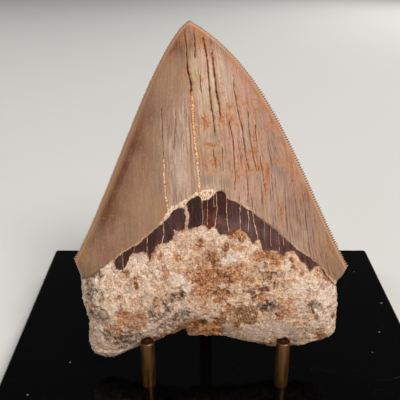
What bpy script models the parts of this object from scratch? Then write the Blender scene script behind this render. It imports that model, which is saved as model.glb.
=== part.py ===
"""A large fossil shark tooth leaning on a three-peg display stand.

The tooth is one natural solid. Its back leans on the taller rear peg, and the lower front of its
root rests against the rear rims of two short front pegs. The pegs stand in blind holes in a black
plate, and a hair's gap is left wherever two pieces touch.
Metres, +Z up, the tooth's inner face towards -Y, origin under the middle of the plate.
"""

import math

import bmesh
import bpy
import numpy as np
from mathutils import Vector, noise

MM = 0.001
NAME = "megalodon_tooth_on_stand"

# Stand
PLATE_WIDTH = 160 * MM
PLATE_DEPTH = 120 * MM
PLATE_THICKNESS = 12 * MM
PLATE_CORNER_RADIUS = 1.5 * MM
PLATE_CORNER_STEPS = 3
PEG_DIAMETER = 5 * MM
PEG_CHAMFER = 0.4 * MM
PEG_SIDES = 40
PEG_CHAMFER_FROM_ANGLE = math.radians(60)
PEG_SHARP_ANGLE = math.radians(30)
FRONT_PEG_HEIGHT = 19.2 * MM
FRONT_PEG_OFFSET = 24.3 * MM
FRONT_PEG_SETBACK = 20 * MM
REAR_PEG_HEIGHT = 44 * MM
REAR_PEG_OFFSET = -3 * MM
REAR_PEG_BEHIND_FRONT = 32.3 * MM
PEG_SOCKET_DEPTH = 8 * MM
GAP = 0.3 * MM

# Tooth placing: its reference point is level with the front pegs' tops
LEAN = math.radians(18)
TURN = math.radians(0.74)
TOOTH_BEHIND_FRONT_PEGS = 11.6 * MM

# Tooth outline, in millimetres across and up from the reference point
TIP = (-8.7, 109.5)
LEFT_SHOULDER = (-51.6, 23.6)
RIGHT_SHOULDER = (49.0, 20.4)
LEFT_EDGE_HANDLES = ((-20.3, 103.8), (-37.7, 47.4))
RIGHT_EDGE_HANDLES = ((19.0, 94.1), (29.6, 57.9))
ROOT_OUTLINE = (
    (49.0, 20.4),
    (44.2, 15.0),
    (44.8, 6.0),
    (44.6, -2.5),
    (39.0, -6.3),
    (29.5, -8.4),
    (21.0, -9.2),
    (13.0, -7.2),
    (4.0, -5.0),
    (-6.0, -4.6),
    (-10.5, -1.8),
    (-19.0, -5.6),
    (-27.0, -8.2),
    (-37.6, -13.2),
    (-44.8, -10.6),
    (-46.4, -5.2),
    (-46.2, 2.0),
    (-48.2, 10.0),
    (-48.9, 17.2),
    (-51.6, 23.6),
)
CROWN_EDGE_COLUMNS = 18
ROOT_COLUMNS_PER_STRETCH = 2

# Tooth body, in millimetres; depths are measured out of the plane of the cutting edges
BODY_CENTRE = (-1.0, 24.0)
CROWN_FOOT = 15.0
CROWN_FRONT_DEPTH = 14.0
CROWN_FRONT_THINNING = 2.2
CROWN_FRONT_ROUNDNESS = 2.0
CROWN_BACK_DEPTH = 8.0
CROWN_BACK_THINNING = 3.0
CROWN_BACK_ROUNDNESS = 2.6
CROWN_TIP_POWER = 0.9
CROWN_EDGE_POWER = 0.95
ROOT_FRONT_DEPTH = (7.8, 17.2)
ROOT_BACK_DEPTH = (6.5, 9.5)
ROOT_TAPER_LEVELS = (-12.0, 15.0)
ROOT_EDGE_RADIUS = 13.0
NECK_AT_SIDES = 19.0
NECK_AT_MIDDLE = 38.0
NECK_BLEND = 12.0
FACE_RINGS = 14
RING_CROWDING = 0.9

# Lumps on the root: height in millimetres, lumps in a millimetre, and the fractal's settings
ROOT_LUMP_HEIGHT = 0.5
ROOT_LUMPS_PER_MM = 0.14
LUMP_ROUGHNESS = 1.0
LUMP_SPREAD = 2.0
LUMP_LAYERS = 3

# Material colours, linear red, green and blue
TOOTH_COLOUR = (0.50, 0.36, 0.27)
TOOTH_ROUGHNESS = 0.55
BRASS_COLOUR = (0.32, 0.19, 0.09)
BRASS_ROUGHNESS = 0.4
PLATE_COLOUR = (0.004, 0.004, 0.005)
PLATE_ROUGHNESS = 0.08


def clear_scene():
    for old in list(bpy.data.objects):
        bpy.data.objects.remove(old, do_unlink=True)


def new_collection(name):
    collection = bpy.data.collections.new(name)
    bpy.context.scene.collection.children.link(collection)
    return collection


def principled(name, colour, roughness, metallic=0.0):
    """A plain Principled material."""
    material = bpy.data.materials.new(name)
    material.use_nodes = True
    shader = material.node_tree.nodes["Principled BSDF"]
    shader.inputs["Base Color"].default_value = (*colour, 1.0)
    shader.inputs["Roughness"].default_value = roughness
    shader.inputs["Metallic"].default_value = metallic
    return material


def object_from_bmesh(bm, name, collection, material=None):
    mesh = bpy.data.meshes.new(name)
    bm.to_mesh(mesh)
    bm.free()
    made = bpy.data.objects.new(name, mesh)
    collection.objects.link(made)
    if material:
        mesh.materials.append(material)
    return made


# ---------------------------------------------------------------- tooth


def bezier(start, handles, end, share):
    """Point of a cubic Bezier curve at a share of its length."""
    rest = 1 - share
    weights = (rest**3, 3 * rest**2 * share, 3 * rest * share**2, share**3)
    points = (start, *handles, end)
    return tuple(sum(w * p[axis] for w, p in zip(weights, points)) for axis in (0, 1))


def smooth_between(before, start, end, after, share):
    """Point of a Catmull-Rom curve between start and end."""
    square = share * share
    cube = square * share
    return tuple(
        0.5
        * (
            2 * start[axis]
            + (end[axis] - before[axis]) * share
            + (2 * before[axis] - 5 * start[axis] + 4 * end[axis] - after[axis]) * square
            + (3 * start[axis] - before[axis] - 3 * end[axis] + after[axis]) * cube
        )
        for axis in (0, 1)
    )


def tooth_outline():
    """The closed outline from the tip down the right edge, round the root and up the left edge."""
    points = []
    for step in range(CROWN_EDGE_COLUMNS):
        points.append(bezier(TIP, RIGHT_EDGE_HANDLES, RIGHT_SHOULDER, step / CROWN_EDGE_COLUMNS))
    last = len(ROOT_OUTLINE) - 1
    for stretch in range(last):
        before = ROOT_OUTLINE[max(stretch - 1, 0)]
        after = ROOT_OUTLINE[min(stretch + 2, last)]
        for step in range(ROOT_COLUMNS_PER_STRETCH):
            share = step / ROOT_COLUMNS_PER_STRETCH
            start, end = ROOT_OUTLINE[stretch : stretch + 2]
            points.append(smooth_between(before, start, end, after, share))
    for step in range(CROWN_EDGE_COLUMNS):
        share = 1 - step / CROWN_EDGE_COLUMNS
        points.append(bezier(TIP, LEFT_EDGE_HANDLES, LEFT_SHOULDER, share))
    return points


def smoothstep(low, high, value):
    share = np.clip((value - low) / (high - low), 0.0, 1.0)
    return share * share * (3 - 2 * share)


def crown_sides(outline, level):
    """Middle and half width of the crown at a height, from the two cutting edges."""
    right_edge = np.array(outline[: CROWN_EDGE_COLUMNS + 1])[::-1]
    left_edge = np.array(outline[-CROWN_EDGE_COLUMNS:] + outline[:1])
    right = np.interp(level, right_edge[:, 1], right_edge[:, 0])
    left = np.interp(level, left_edge[:, 1], left_edge[:, 0])
    return (left + right) / 2, (right - left) / 2


def crown_depth(outline, across, level, side):
    """A lens section that thins from the foot of the crown to the tip, flatter on the back."""
    middle, half = crown_sides(outline, level)
    off = min(abs(across - middle), half) / half if half > 0 else 1.0
    rise = np.clip((level - CROWN_FOOT) / (TIP[1] - CROWN_FOOT), 0.0, 1.0)
    depth, thinning, roundness = CROWN_BACK_DEPTH, CROWN_BACK_THINNING, CROWN_BACK_ROUNDNESS
    if side > 0:
        depth, thinning, roundness = CROWN_FRONT_DEPTH, CROWN_FRONT_THINNING, CROWN_FRONT_ROUNDNESS
    return depth * (1 - rise**thinning) ** CROWN_TIP_POWER * (1 - off**roundness) ** CROWN_EDGE_POWER


def root_depth(level, margin, side):
    """A pillow that swells below the crown, thins towards the lobes and is round at its margin."""
    thin, thick = ROOT_FRONT_DEPTH if side > 0 else ROOT_BACK_DEPTH
    depth = thin + (thick - thin) * smoothstep(*ROOT_TAPER_LEVELS, level)
    inward = min(margin / ROOT_EDGE_RADIUS, 1.0)
    return depth * math.sqrt(1 - (1 - inward) ** 2)


def root_share(across, level):
    """1 in the root and 0 in the crown; the neck between them rises to the middle of the tooth."""
    reach = min(abs(across - BODY_CENTRE[0]) / RIGHT_SHOULDER[0], 1.0)
    neck = NECK_AT_MIDDLE + (NECK_AT_SIDES - NECK_AT_MIDDLE) * reach
    return 1 - smoothstep(neck - NECK_BLEND / 2, neck + NECK_BLEND / 2, level)


def tooth_point(outline, edge, spread, side):
    """A point of the tooth's skin.

    spread goes from 0 at the body's centre to 1 at the outline point edge, and side is 1 on the
    bulged front face and -1 on the flatter back face.
    """
    across = BODY_CENTRE[0] + spread * (edge[0] - BODY_CENTRE[0])
    level = BODY_CENTRE[1] + spread * (edge[1] - BODY_CENTRE[1])
    depth = 0.0
    if spread < 1:
        margin = min(math.hypot(across - x, level - z) for x, z in outline)
        share = root_share(across, level)
        depth = share * root_depth(level, margin, side)
        depth += (1 - share) * crown_depth(outline, across, level, side)
    point = Vector((across, -side * depth, level))
    height = ROOT_LUMP_HEIGHT * root_share(across, level + NECK_BLEND)
    lump = noise.fractal(point * ROOT_LUMPS_PER_MM, LUMP_ROUGHNESS, LUMP_SPREAD, LUMP_LAYERS)
    outward = Vector((point.x - BODY_CENTRE[0], 2 * point.y, point.z - BODY_CENTRE[1]))
    return point + outward.normalized() * lump * height


def make_tooth(collection):
    """A UV sphere whose meridians become outline columns and whose parallels become rings."""
    outline = tooth_outline()
    columns = len(outline)
    rings = 2 * FACE_RINGS
    bm = bmesh.new()
    bmesh.ops.create_uvsphere(bm, u_segments=columns, v_segments=rings, radius=1.0)
    for vertex in bm.verts:
        place = vertex.co.copy()
        turn = math.atan2(place.y, place.x)
        column = round(turn / (2 * math.pi) * columns) % columns
        tilt = math.atan2(math.hypot(place.x, place.y), place.z)
        side = 1 if place.z >= 0 else -1
        spread = min(math.sin(tilt) ** RING_CROWDING, 1.0)
        if round(tilt / math.pi * rings) == FACE_RINGS:
            spread = 1.0
        vertex.co = tooth_point(outline, outline[-column], spread, side) * MM
    bm.normal_update()
    bmesh.ops.recalc_face_normals(bm, faces=bm.faces)
    enamel = principled("fossil_enamel_and_root", TOOTH_COLOUR, TOOTH_ROUGHNESS)
    tooth = object_from_bmesh(bm, "megalodon_tooth", collection, enamel)
    tooth.data.shade_smooth()
    tooth.rotation_euler = (-LEAN, 0, TURN)
    front_row = -PLATE_DEPTH / 2 + FRONT_PEG_SETBACK
    level = PLATE_THICKNESS + FRONT_PEG_HEIGHT
    tooth.location = (0, front_row + TOOTH_BEHIND_FRONT_PEGS, level)
    return tooth


# ---------------------------------------------------------------- stand


def peg_places():
    """Name, place across, place along the depth, and height above the plate of each peg."""
    front_row = -PLATE_DEPTH / 2 + FRONT_PEG_SETBACK
    rear_row = front_row + REAR_PEG_BEHIND_FRONT
    return (
        ("front_peg_left", -FRONT_PEG_OFFSET, front_row, FRONT_PEG_HEIGHT),
        ("front_peg_right", FRONT_PEG_OFFSET, front_row, FRONT_PEG_HEIGHT),
        ("rear_peg", REAR_PEG_OFFSET, rear_row, REAR_PEG_HEIGHT),
    )


def cylinder(name, radius, bottom, top, place, collection, material=None):
    """An upright cylinder between two heights."""
    bm = bmesh.new()
    bmesh.ops.create_cone(
        bm, cap_ends=True, segments=PEG_SIDES, radius1=radius, radius2=radius, depth=top - bottom
    )
    made = object_from_bmesh(bm, name, collection, material)
    made.location = (place[0], place[1], (bottom + top) / 2)
    return made


def make_peg(name, across, along, height, collection, brass):
    """A plain brass rod with a small chamfer, pushed into its socket in the plate."""
    bottom = PLATE_THICKNESS - PEG_SOCKET_DEPTH + GAP
    top = PLATE_THICKNESS + height
    peg = cylinder(name, PEG_DIAMETER / 2, bottom, top, (across, along), collection, brass)
    chamfer = peg.modifiers.new("chamfer", "BEVEL")
    chamfer.width = PEG_CHAMFER
    chamfer.segments = 1
    chamfer.limit_method = "ANGLE"
    chamfer.angle_limit = PEG_CHAMFER_FROM_ANGLE
    peg.data.shade_smooth()
    peg.data.set_sharp_from_angle(angle=PEG_SHARP_ANGLE)
    return peg


def make_plate(collection, cutters):
    """The black plate, with rounded edges and a blind socket for each peg."""
    bm = bmesh.new()
    bmesh.ops.create_cube(bm, size=1.0)
    bmesh.ops.scale(bm, vec=(PLATE_WIDTH, PLATE_DEPTH, PLATE_THICKNESS), verts=bm.verts)
    gloss_black = principled("gloss_black", PLATE_COLOUR, PLATE_ROUGHNESS)
    plate = object_from_bmesh(bm, "base_plate", collection, gloss_black)
    plate.location = (0, 0, PLATE_THICKNESS / 2)
    rounding = plate.modifiers.new("rounding", "BEVEL")
    rounding.width = PLATE_CORNER_RADIUS
    rounding.segments = PLATE_CORNER_STEPS
    for name, across, along, _ in peg_places():
        bottom = PLATE_THICKNESS - PEG_SOCKET_DEPTH
        top = PLATE_THICKNESS + PEG_SOCKET_DEPTH
        radius = PEG_DIAMETER / 2 + GAP
        cutter = cylinder("socket_" + name, radius, bottom, top, (across, along), cutters)
        cutter.hide_render = True
        cutter.display_type = "WIRE"
        cut = plate.modifiers.new("socket_" + name, "BOOLEAN")
        cut.operation = "DIFFERENCE"
        cut.solver = "EXACT"
        cut.object = cutter
    return plate


def main():
    clear_scene()
    parts = new_collection(NAME)
    cutters = new_collection("cutters")
    make_tooth(parts)
    make_plate(parts, cutters)
    brass = principled("dull_brass", BRASS_COLOUR, BRASS_ROUGHNESS, metallic=1.0)
    for name, across, along, height in peg_places():
        make_peg(name, across, along, height, parts, brass)


main()
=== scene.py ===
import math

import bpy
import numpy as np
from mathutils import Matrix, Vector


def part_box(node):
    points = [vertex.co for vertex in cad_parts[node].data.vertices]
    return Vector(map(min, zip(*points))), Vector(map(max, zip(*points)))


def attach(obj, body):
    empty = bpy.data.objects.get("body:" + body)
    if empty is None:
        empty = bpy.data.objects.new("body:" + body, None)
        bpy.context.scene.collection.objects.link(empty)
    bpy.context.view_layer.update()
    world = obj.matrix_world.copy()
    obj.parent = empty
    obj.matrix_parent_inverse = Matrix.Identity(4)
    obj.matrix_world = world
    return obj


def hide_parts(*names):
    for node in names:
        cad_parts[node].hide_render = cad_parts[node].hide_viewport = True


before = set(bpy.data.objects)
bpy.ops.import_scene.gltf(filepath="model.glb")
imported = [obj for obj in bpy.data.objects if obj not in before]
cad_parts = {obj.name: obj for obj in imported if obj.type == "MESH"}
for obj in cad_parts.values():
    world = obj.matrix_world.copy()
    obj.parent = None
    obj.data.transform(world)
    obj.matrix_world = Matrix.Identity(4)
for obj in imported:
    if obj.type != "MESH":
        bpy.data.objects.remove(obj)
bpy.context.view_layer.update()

# Looks of a fossil megalodon tooth leaning on three brass pegs in a gloss black plate.
#
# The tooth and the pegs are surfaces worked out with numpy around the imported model. Lengths are in
# millimetres unless a comment says otherwise. The tooth has its own frame: across and level lie in
# the plane of its cutting edges, and depth points out of its inner, bulged face.

MM = 0.001
FAR = 60.0

# ------------------------------------------------------------------ driving dimensions

# Tooth outline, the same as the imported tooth's
LEAN = math.radians(18)
TURN = math.radians(0.74)
BEHIND_PEGS = 11.6
TIP = (-8.7, 109.5)
LEFT_SHOULDER = (-51.6, 23.6)
RIGHT_SHOULDER = (49.0, 20.4)
LEFT_HANDLES = ((-20.3, 103.8), (-37.7, 47.4))
RIGHT_HANDLES = ((19.0, 94.1), (29.6, 57.9))
LEFT_ROOT_SIDE = (
    (-44.8, -10.6), (-46.4, -5.2), (-46.2, 2.0), (-48.2, 10.0), (-48.9, 17.2), (-51.6, 23.6),
)
RIGHT_ROOT_SIDE = ((44.6, -2.5), (44.8, 6.0), (44.2, 15.0), (46.6, 17.6), (49.0, 20.4))
ROOT_UNDERSIDE = (
    (-44.8, -10.6), (-41.6, -12.9), (-37.6, -13.2), (-32.0, -10.3), (-27.0, -8.2),
    (-19.0, -5.6), (-13.6, -3.4), (-10.6, -1.4), (-9.8, -4.0), (-6.0, -4.6), (4.0, -5.0),
    (8.6, -6.0), (13.0, -7.2), (21.0, -9.2), (29.5, -8.4), (34.0, -7.6), (39.0, -6.3),
    (42.6, -4.7), (44.6, -2.5),
)

# Tooth body
BODY_CENTRE = (-1.0, 24.0)
CROWN_FOOT = 15.0
CROWN_FRONT = (14.0, 2.2, 2.0)
CROWN_BACK = (8.0, 3.0, 2.6)
CROWN_TIP_POWER = 0.9
CROWN_EDGE_POWER = 0.95
ROOT_FRONT_DEPTH = (7.8, 17.2)
ROOT_BACK_DEPTH = (6.5, 9.5)
ROOT_TAPER_LEVELS = (-12.0, 15.0)
ROOT_EDGE_RADIUS = 13.0
NECK_AT_SIDES = 19.0
NECK_AT_MIDDLE = 38.0
NECK_BLEND = 12.0
HALF_WIDTH = 49.0

# Tooth mesh
COLUMNS = 288
ROOT_ROWS = 98
SERRATIONS = 116
POINTS_PER_SERRATION = 4
FINE_SERRATIONS = 40
BACK_STEP = 2
SERRATION_HEIGHT = 0.68
SERRATION_SHAPE = (0.0, 0.6, 1.0, 0.6)
SMOOTH_TOOTH = math.radians(48)
SMOOTH_PEG = math.radians(30)

# Borders on the inner face: top and foot of the dark band, left to right
BAND_TOP = (
    (-52.0, 16.5), (-46.0, 19.0), (-41.7, 21.9), (-40.3, 23.0), (-38.5, 24.3), (-37.1, 25.3),
    (-35.7, 25.9), (-33.6, 27.5), (-32.2, 28.6), (-30.8, 29.6), (-29.4, 30.6), (-27.9, 31.0),
    (-26.5, 32.2), (-25.5, 33.1), (-23.7, 34.7), (-21.9, 36.3), (-20.1, 38.0), (-18.3, 39.7),
    (-16.2, 42.2), (-15.2, 43.5), (-14.1, 44.4), (-12.4, 45.0), (-11.0, 45.1), (-10.1, 46.4),
    (-9.6, 47.0), (-8.2, 48.2), (-6.8, 48.9), (-5.6, 49.1), (-4.8, 48.1), (-2.7, 48.1), (-2.0, 48.7),
    (-1.3, 49.3), (-0.3, 49.9), (0.7, 50.6), (2.1, 50.8), (3.2, 49.8), (3.8, 48.3), (4.9, 47.4),
    (6.6, 46.8), (8.4, 46.0), (10.1, 44.6), (11.9, 43.5), (13.6, 42.2), (14.7, 41.3), (16.1, 40.3),
    (19.0, 38.2), (21.9, 35.6), (23.8, 33.9), (25.2, 32.8), (26.7, 31.6), (28.0, 29.8), (29.8, 28.7),
    (31.2, 27.5), (33.4, 26.5), (35.1, 25.0), (36.4, 24.0), (37.4, 22.9), (38.2, 21.5), (39.2, 19.9),
    (44.5, 14.6), (50.0, 12.6),
)
BAND_FOOT = (
    (-52.0, 16.5), (-46.0, 19.0), (-41.6, 21.7), (-40.3, 22.9), (-38.5, 24.3), (-37.1, 25.3),
    (-35.7, 25.7), (-34.7, 23.9), (-33.5, 23.2), (-32.1, 23.9), (-30.8, 24.9), (-30.7, 26.0),
    (-29.9, 27.8), (-28.9, 28.8), (-26.4, 29.0), (-23.9, 29.4), (-23.5, 28.6), (-23.1, 27.1),
    (-22.4, 27.2), (-22.3, 29.0), (-21.1, 31.2), (-20.1, 32.2), (-18.3, 32.5), (-16.6, 32.7),
    (-15.5, 33.4), (-14.8, 34.4), (-14.5, 36.5), (-12.4, 36.9), (-11.0, 37.3), (-10.0, 37.1),
    (-9.0, 37.5), (-7.6, 38.0), (-6.6, 38.2), (-5.5, 38.6), (-4.8, 39.1), (-3.5, 38.9), (-3.1, 38.0),
    (-2.5, 37.2), (-1.8, 37.4), (-1.1, 38.3), (-0.4, 38.6), (-0.1, 37.7), (0.6, 36.7), (1.3, 35.7),
    (2.3, 36.0), (4.0, 35.7), (5.1, 35.5), (5.5, 36.5), (6.2, 37.1), (7.2, 37.4), (8.0, 37.6),
    (8.3, 37.0), (9.3, 36.3), (10.7, 35.4), (11.4, 34.9), (11.7, 33.6), (12.3, 32.3), (13.0, 32.6),
    (13.5, 33.5), (14.2, 33.9), (14.9, 33.4), (15.5, 32.4), (15.8, 30.9), (16.4, 30.1), (18.6, 29.9),
    (21.5, 29.5), (22.5, 28.3), (23.5, 27.9), (24.4, 28.8), (25.9, 29.0), (27.5, 28.8), (28.7, 27.2),
    (29.6, 25.5), (30.7, 25.3), (31.6, 23.9), (32.1, 22.7), (33.3, 22.9), (34.3, 23.8), (35.6, 23.8),
    (36.6, 23.1), (37.8, 21.3), (39.1, 19.4), (44.5, 14.3), (50.0, 12.3),
)
BACK_BORDER = (
    (-52.0, 17.5), (-46.0, 19.0), (-36.0, 17.5), (-24.0, 21.5), (-10.0, 26.5), (0.0, 27.5),
    (10.0, 26.0), (22.0, 20.5), (34.0, 16.0), (42.0, 16.0), (50.0, 13.0),
)

# Cracks on the inner face: (half width, points from the top down)
OPEN_CRACKS = (
    (0.11, ((-10.7, 105.8), (-10.0, 101.8), (-9.7, 96.2))),
    (0.23, ((-9.7, 95.5), (-9.4, 92.0), (-8.4, 86.8), (-8.4, 84.3))),
    (0.10, ((-7.2, 105.4), (-6.9, 99.0), (-6.9, 96.5))),
    (0.15, (
        (-4.1, 102.9), (-3.4, 100.0), (-2.7, 95.4), (-2.1, 86.7), (-1.2, 78.1), (-0.5, 73.0),
        (-0.2, 70.9),
    )),
    (0.17, ((-1.0, 97.6), (-0.3, 92.0), (0.3, 85.0), (1.3, 79.8), (1.6, 76.4))),
    (0.07, (
        (6.4, 90.0), (6.6, 85.1), (7.6, 79.2), (8.3, 75.4), (9.3, 71.2), (9.9, 66.1), (10.9, 59.9),
        (11.6, 57.1),
    )),
    (0.07, ((11.5, 77.4), (11.8, 71.2), (12.4, 66.0), (13.4, 60.8), (14.1, 57.4))),
    (0.06, ((14.0, 72.6), (14.6, 66.0), (14.9, 63.6))),
    (0.06, ((4.7, 74.0), (6.1, 67.8), (6.3, 61.0), (6.7, 55.8), (6.6, 50.7))),
    (0.05, ((15.6, 61.5), (16.6, 55.6), (17.3, 49.7))),
    (0.07, ((-0.9, 64.4), (0.1, 59.0))),
    (0.05, ((2.2, 65.1), (2.5, 57.6))),
    (0.04, ((11.2, 54.7), (11.2, 45.1))),
    (0.05, ((-5.2, 89.8), (-4.9, 84.3))),
    (0.04, ((19.6, 55.5), (20.2, 46.8))),
    (0.05, ((24.6, 44.8), (25.3, 38.8))),
    (0.04, ((-13.9, 79.9), (-13.6, 73.0), (-14.6, 64.4))),
    (0.04, ((-10.1, 79.5), (-9.8, 74.0))),
    (0.05, ((-18.7, 78.9), (-18.4, 71.3), (-18.2, 66.1), (-17.9, 61.5))),
    (0.03, ((-11.2, 71.0), (-10.9, 62.5))),
)
FILLED_CRACKS = (
    (0.27, ((-8.4, 84.3), (-7.7, 79.9), (-7.7, 75.4), (-7.1, 67.9), (-6.1, 57.6), (-5.5, 50.5))),
    (0.20, ((-17.9, 61.0), (-17.9, 56.9), (-17.7, 52.4), (-17.2, 47.9), (-16.6, 44.8))),
    (0.09, ((1.7, 88.8), (2.4, 85.0), (3.7, 81.6), (4.7, 76.7))),
)
BAND_VEINS = (
    (0.50, ((-10.8, 46.3), (-10.3, 43.9), (-9.8, 41.5), (-10.3, 38.8), (-10.3, 37.1))),
    (0.09, ((-4.8, 47.0), (-4.6, 43.2), (-4.7, 38.9))),
    (0.07, ((-2.9, 46.7), (-3.0, 43.2), (-3.1, 38.9))),
    (0.06, ((-0.8, 49.1), (-0.7, 45.3))),
    (0.11, ((0.1, 50.1), (0.4, 43.9), (-0.4, 38.0))),
    (0.12, ((3.7, 49.7), (3.7, 45.6), (3.8, 41.1), (4.4, 36.8))),
    (0.14, ((8.5, 45.5), (8.4, 42.0), (8.5, 37.3))),
    (0.14, ((11.3, 43.0), (11.5, 40.2), (11.3, 37.5))),
    (0.12, ((12.9, 42.6), (13.3, 39.5), (14.3, 35.0), (14.5, 33.8))),
    (0.06, ((17.0, 39.3), (17.1, 33.3))),
    (0.06, ((19.4, 38.1), (19.1, 31.3))),
    (0.07, ((22.3, 35.5), (22.1, 29.8))),
    (0.10, ((23.8, 33.7), (24.0, 31.7))),
    (0.07, ((-32.9, 27.5), (-32.1, 24.2))),
    (0.07, ((-28.6, 30.6), (-28.5, 28.8))),
    (0.08, ((-24.0, 34.2), (-23.9, 29.5))),
    (0.12, ((-18.3, 38.9), (-18.0, 35.5), (-18.7, 32.6))),
)

# Cream crust along the top of the band: (across, half width)
CRUST = (
    (-52.0, 0.04), (-41.7, 0.02), (-40.3, 0.02), (-38.5, 0.02), (-37.1, 0.02), (-35.7, 0.06),
    (-33.6, 0.12), (-32.2, 0.12), (-30.8, 0.12), (-29.4, 0.14), (-27.9, 0.20), (-26.5, 0.21),
    (-25.5, 0.15), (-23.7, 0.15), (-21.9, 0.19), (-20.1, 0.26), (-18.3, 0.45), (-16.2, 0.95),
    (-15.2, 0.70), (-14.1, 0.62), (-12.4, 0.77), (-11.0, 0.89), (-10.1, 0.43), (-9.6, 0.38),
    (-8.2, 0.50), (-6.8, 0.78), (-5.6, 0.80), (-4.8, 1.28), (-2.7, 1.65), (-2.0, 1.12), (-1.3, 0.88),
    (-0.3, 0.47), (0.7, 0.06), (2.1, 0.00), (3.2, 0.12), (3.8, 0.14), (4.9, 0.17), (6.6, 0.24),
    (8.4, 0.26), (10.1, 0.31), (11.9, 0.26), (13.6, 0.31), (14.7, 0.11), (16.1, 0.03), (19.0, 0.03),
    (21.9, 0.03), (23.8, 0.05), (25.2, 0.06), (26.7, 0.16), (28.0, 0.16), (29.8, 0.12), (31.2, 0.14),
    (33.4, 0.08), (35.1, 0.06), (36.4, 0.05), (37.4, 0.05), (38.2, 0.09), (39.2, 0.19), (42.0, 0.50),
    (50.0, 0.50),
)

# The enamel's grain: its axis runs down from the tip to the right, and it spreads out downwards
GRAIN_AXIS = ((15.0, -3.5), (50.5, -5.5), (84.3, -8.4), (110.0, -10.5))
GRAIN_SPREAD_LEFT = 0.02
GRAIN_SPREAD_RIGHT = 0.005
GRAIN_SPREAD_ENDS = 52.0

# Line between the darker left flank and the pale middle: (level, across)
FLANK_LINE = (
    (15.0, -14.0), (45.0, -16.5), (62.0, -18.0), (74.0, -18.0), (81.0, -12.5), (86.0, -9.0),
    (110.0, -9.5),
)

# Stains of the enamel and patches of the root on the inner face, placed one by one:
# (across, level, half width, half height, strength)
ORANGE_STAINS = (
    (6.0, 77.0, 6.0, 4.5, 0.58), (-2.0, 60.5, 4.5, 4.5, 0.50), (12.5, 58.5, 7.0, 3.5, 0.50),
    (17.5, 51.0, 1.2, 5.5, 0.8), (-6.5, 106.5, 3.2, 1.1, 1.1), (-10.0, 103.6, 1.8, 1.8, 0.8),
    (-11.8, 103.0, 1.4, 1.1, 0.7), (-4.8, 102.5, 1.8, 2.9, 1.2), (-3.4, 100.4, 0.9, 1.8, 1.1),
    (-6.5, 100.4, 1.0, 2.5, 0.6), (4.8, 79.1, 1.8, 1.7, 1.0), (2.3, 75.7, 2.4, 3.1, 1.0),
    (5.4, 75.0, 1.8, 2.7, 1.1), (7.5, 72.9, 1.8, 2.1, 0.8), (10.5, 80.2, 2.2, 1.0, 0.9),
    (10.9, 82.7, 1.1, 1.8, 0.7), (15.5, 84.2, 1.6, 0.9, 0.7), (17.9, 78.9, 1.6, 1.1, 0.7),
    (-7.7, 75.7, 1.0, 2.1, 1.2), (-8.0, 79.9, 0.9, 2.1, 0.8), (-3.6, 74.0, 2.1, 3.1, 1.0),
    (-1.6, 66.2, 2.4, 0.9, 1.3), (-1.9, 63.8, 0.9, 1.4, 1.0), (-0.2, 60.7, 0.9, 2.4, 1.2),
    (-3.7, 60.4, 1.7, 3.1, 0.6), (-1.6, 57.3, 2.1, 2.0, 0.6), (13.1, 63.6, 1.4, 1.7, 1.1),
    (15.2, 58.0, 2.2, 1.4, 1.2), (18.1, 56.6, 1.1, 3.5, 1.2), (12.0, 56.7, 3.2, 0.9, 0.9),
    (7.7, 55.1, 1.4, 2.1, 0.7), (8.1, 59.9, 2.5, 1.7, 0.7), (21.9, 60.2, 3.1, 0.7, 1.1),
    (24.9, 58.4, 1.2, 1.4, 0.8), (23.1, 42.1, 0.7, 4.2, 1.0), (16.9, 50.4, 0.9, 3.8, 0.7),
    (2.4, 85.0, 1.1, 3.1, 0.6), (-6.7, 69.9, 0.9, 3.1, 0.7), (-5.7, 62.8, 0.7, 4.1, 0.5),
    (26.9, 58.6, 1.2, 3.1, 0.6), (42.6, 29.1, 1.8, 3.1, 0.5), (-46.9, 26.2, 1.2, 2.5, 0.4),
    (-23.0, 89.0, 3.3, 2.1, 0.4), (-5.6, 89.2, 2.1, 2.1, 0.5), (-18.6, 43.2, 1.3, 3.4, 0.8),
    (-17.3, 51.0, 0.8, 3.0, 0.6),
)
RED_STAINS = (
    (11.4, 88.0, 1.9, 1.4, 1.0), (10.0, 90.1, 1.9, 1.4, 0.6), (4.3, 69.5, 2.1, 2.7, 0.6),
    (8.8, 64.4, 2.1, 3.1, 0.6), (2.2, 61.7, 1.7, 2.7, 0.6), (15.0, 69.8, 3.3, 2.1, 0.7),
    (16.4, 66.0, 1.5, 3.1, 0.6), (7.7, 57.5, 2.8, 3.1, 0.6), (20.4, 72.5, 3.2, 2.1, 0.6),
    (4.7, 95.6, 3.3, 1.8, 0.8), (7.9, 93.6, 2.6, 2.2, 0.8), (-15.7, 96.4, 2.8, 1.8, 0.6),
    (-2.4, 97.6, 1.4, 2.5, 0.5), (-0.6, 96.9, 0.9, 1.8, 0.9), (-10.4, 90.3, 2.1, 2.1, 0.6),
    (30.5, 47.9, 2.9, 2.8, 0.5), (28.7, 53.3, 2.0, 3.1, 0.6), (3.6, 68.0, 3.0, 7.0, 0.50),
    (13.5, 80.0, 5.0, 5.0, 0.50), (9.0, 60.0, 5.0, 5.0, 0.55), (14.5, 66.0, 2.5, 7.0, 0.55),
    (9.0, 84.0, 3.0, 4.0, 0.50),
)
MAUVE_STAINS = (
    (-27.0, 66.0, 3.0, 5.0, 1.0), (-31.5, 55.0, 2.2, 7.0, 0.8), (-36.5, 44.5, 1.8, 6.0, 0.9),
    (-40.5, 35.0, 1.6, 5.0, 0.7), (28.0, 46.0, 4.0, 7.0, 0.4), (-22.5, 77.0, 2.6, 4.5, 0.8),
)
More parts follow.
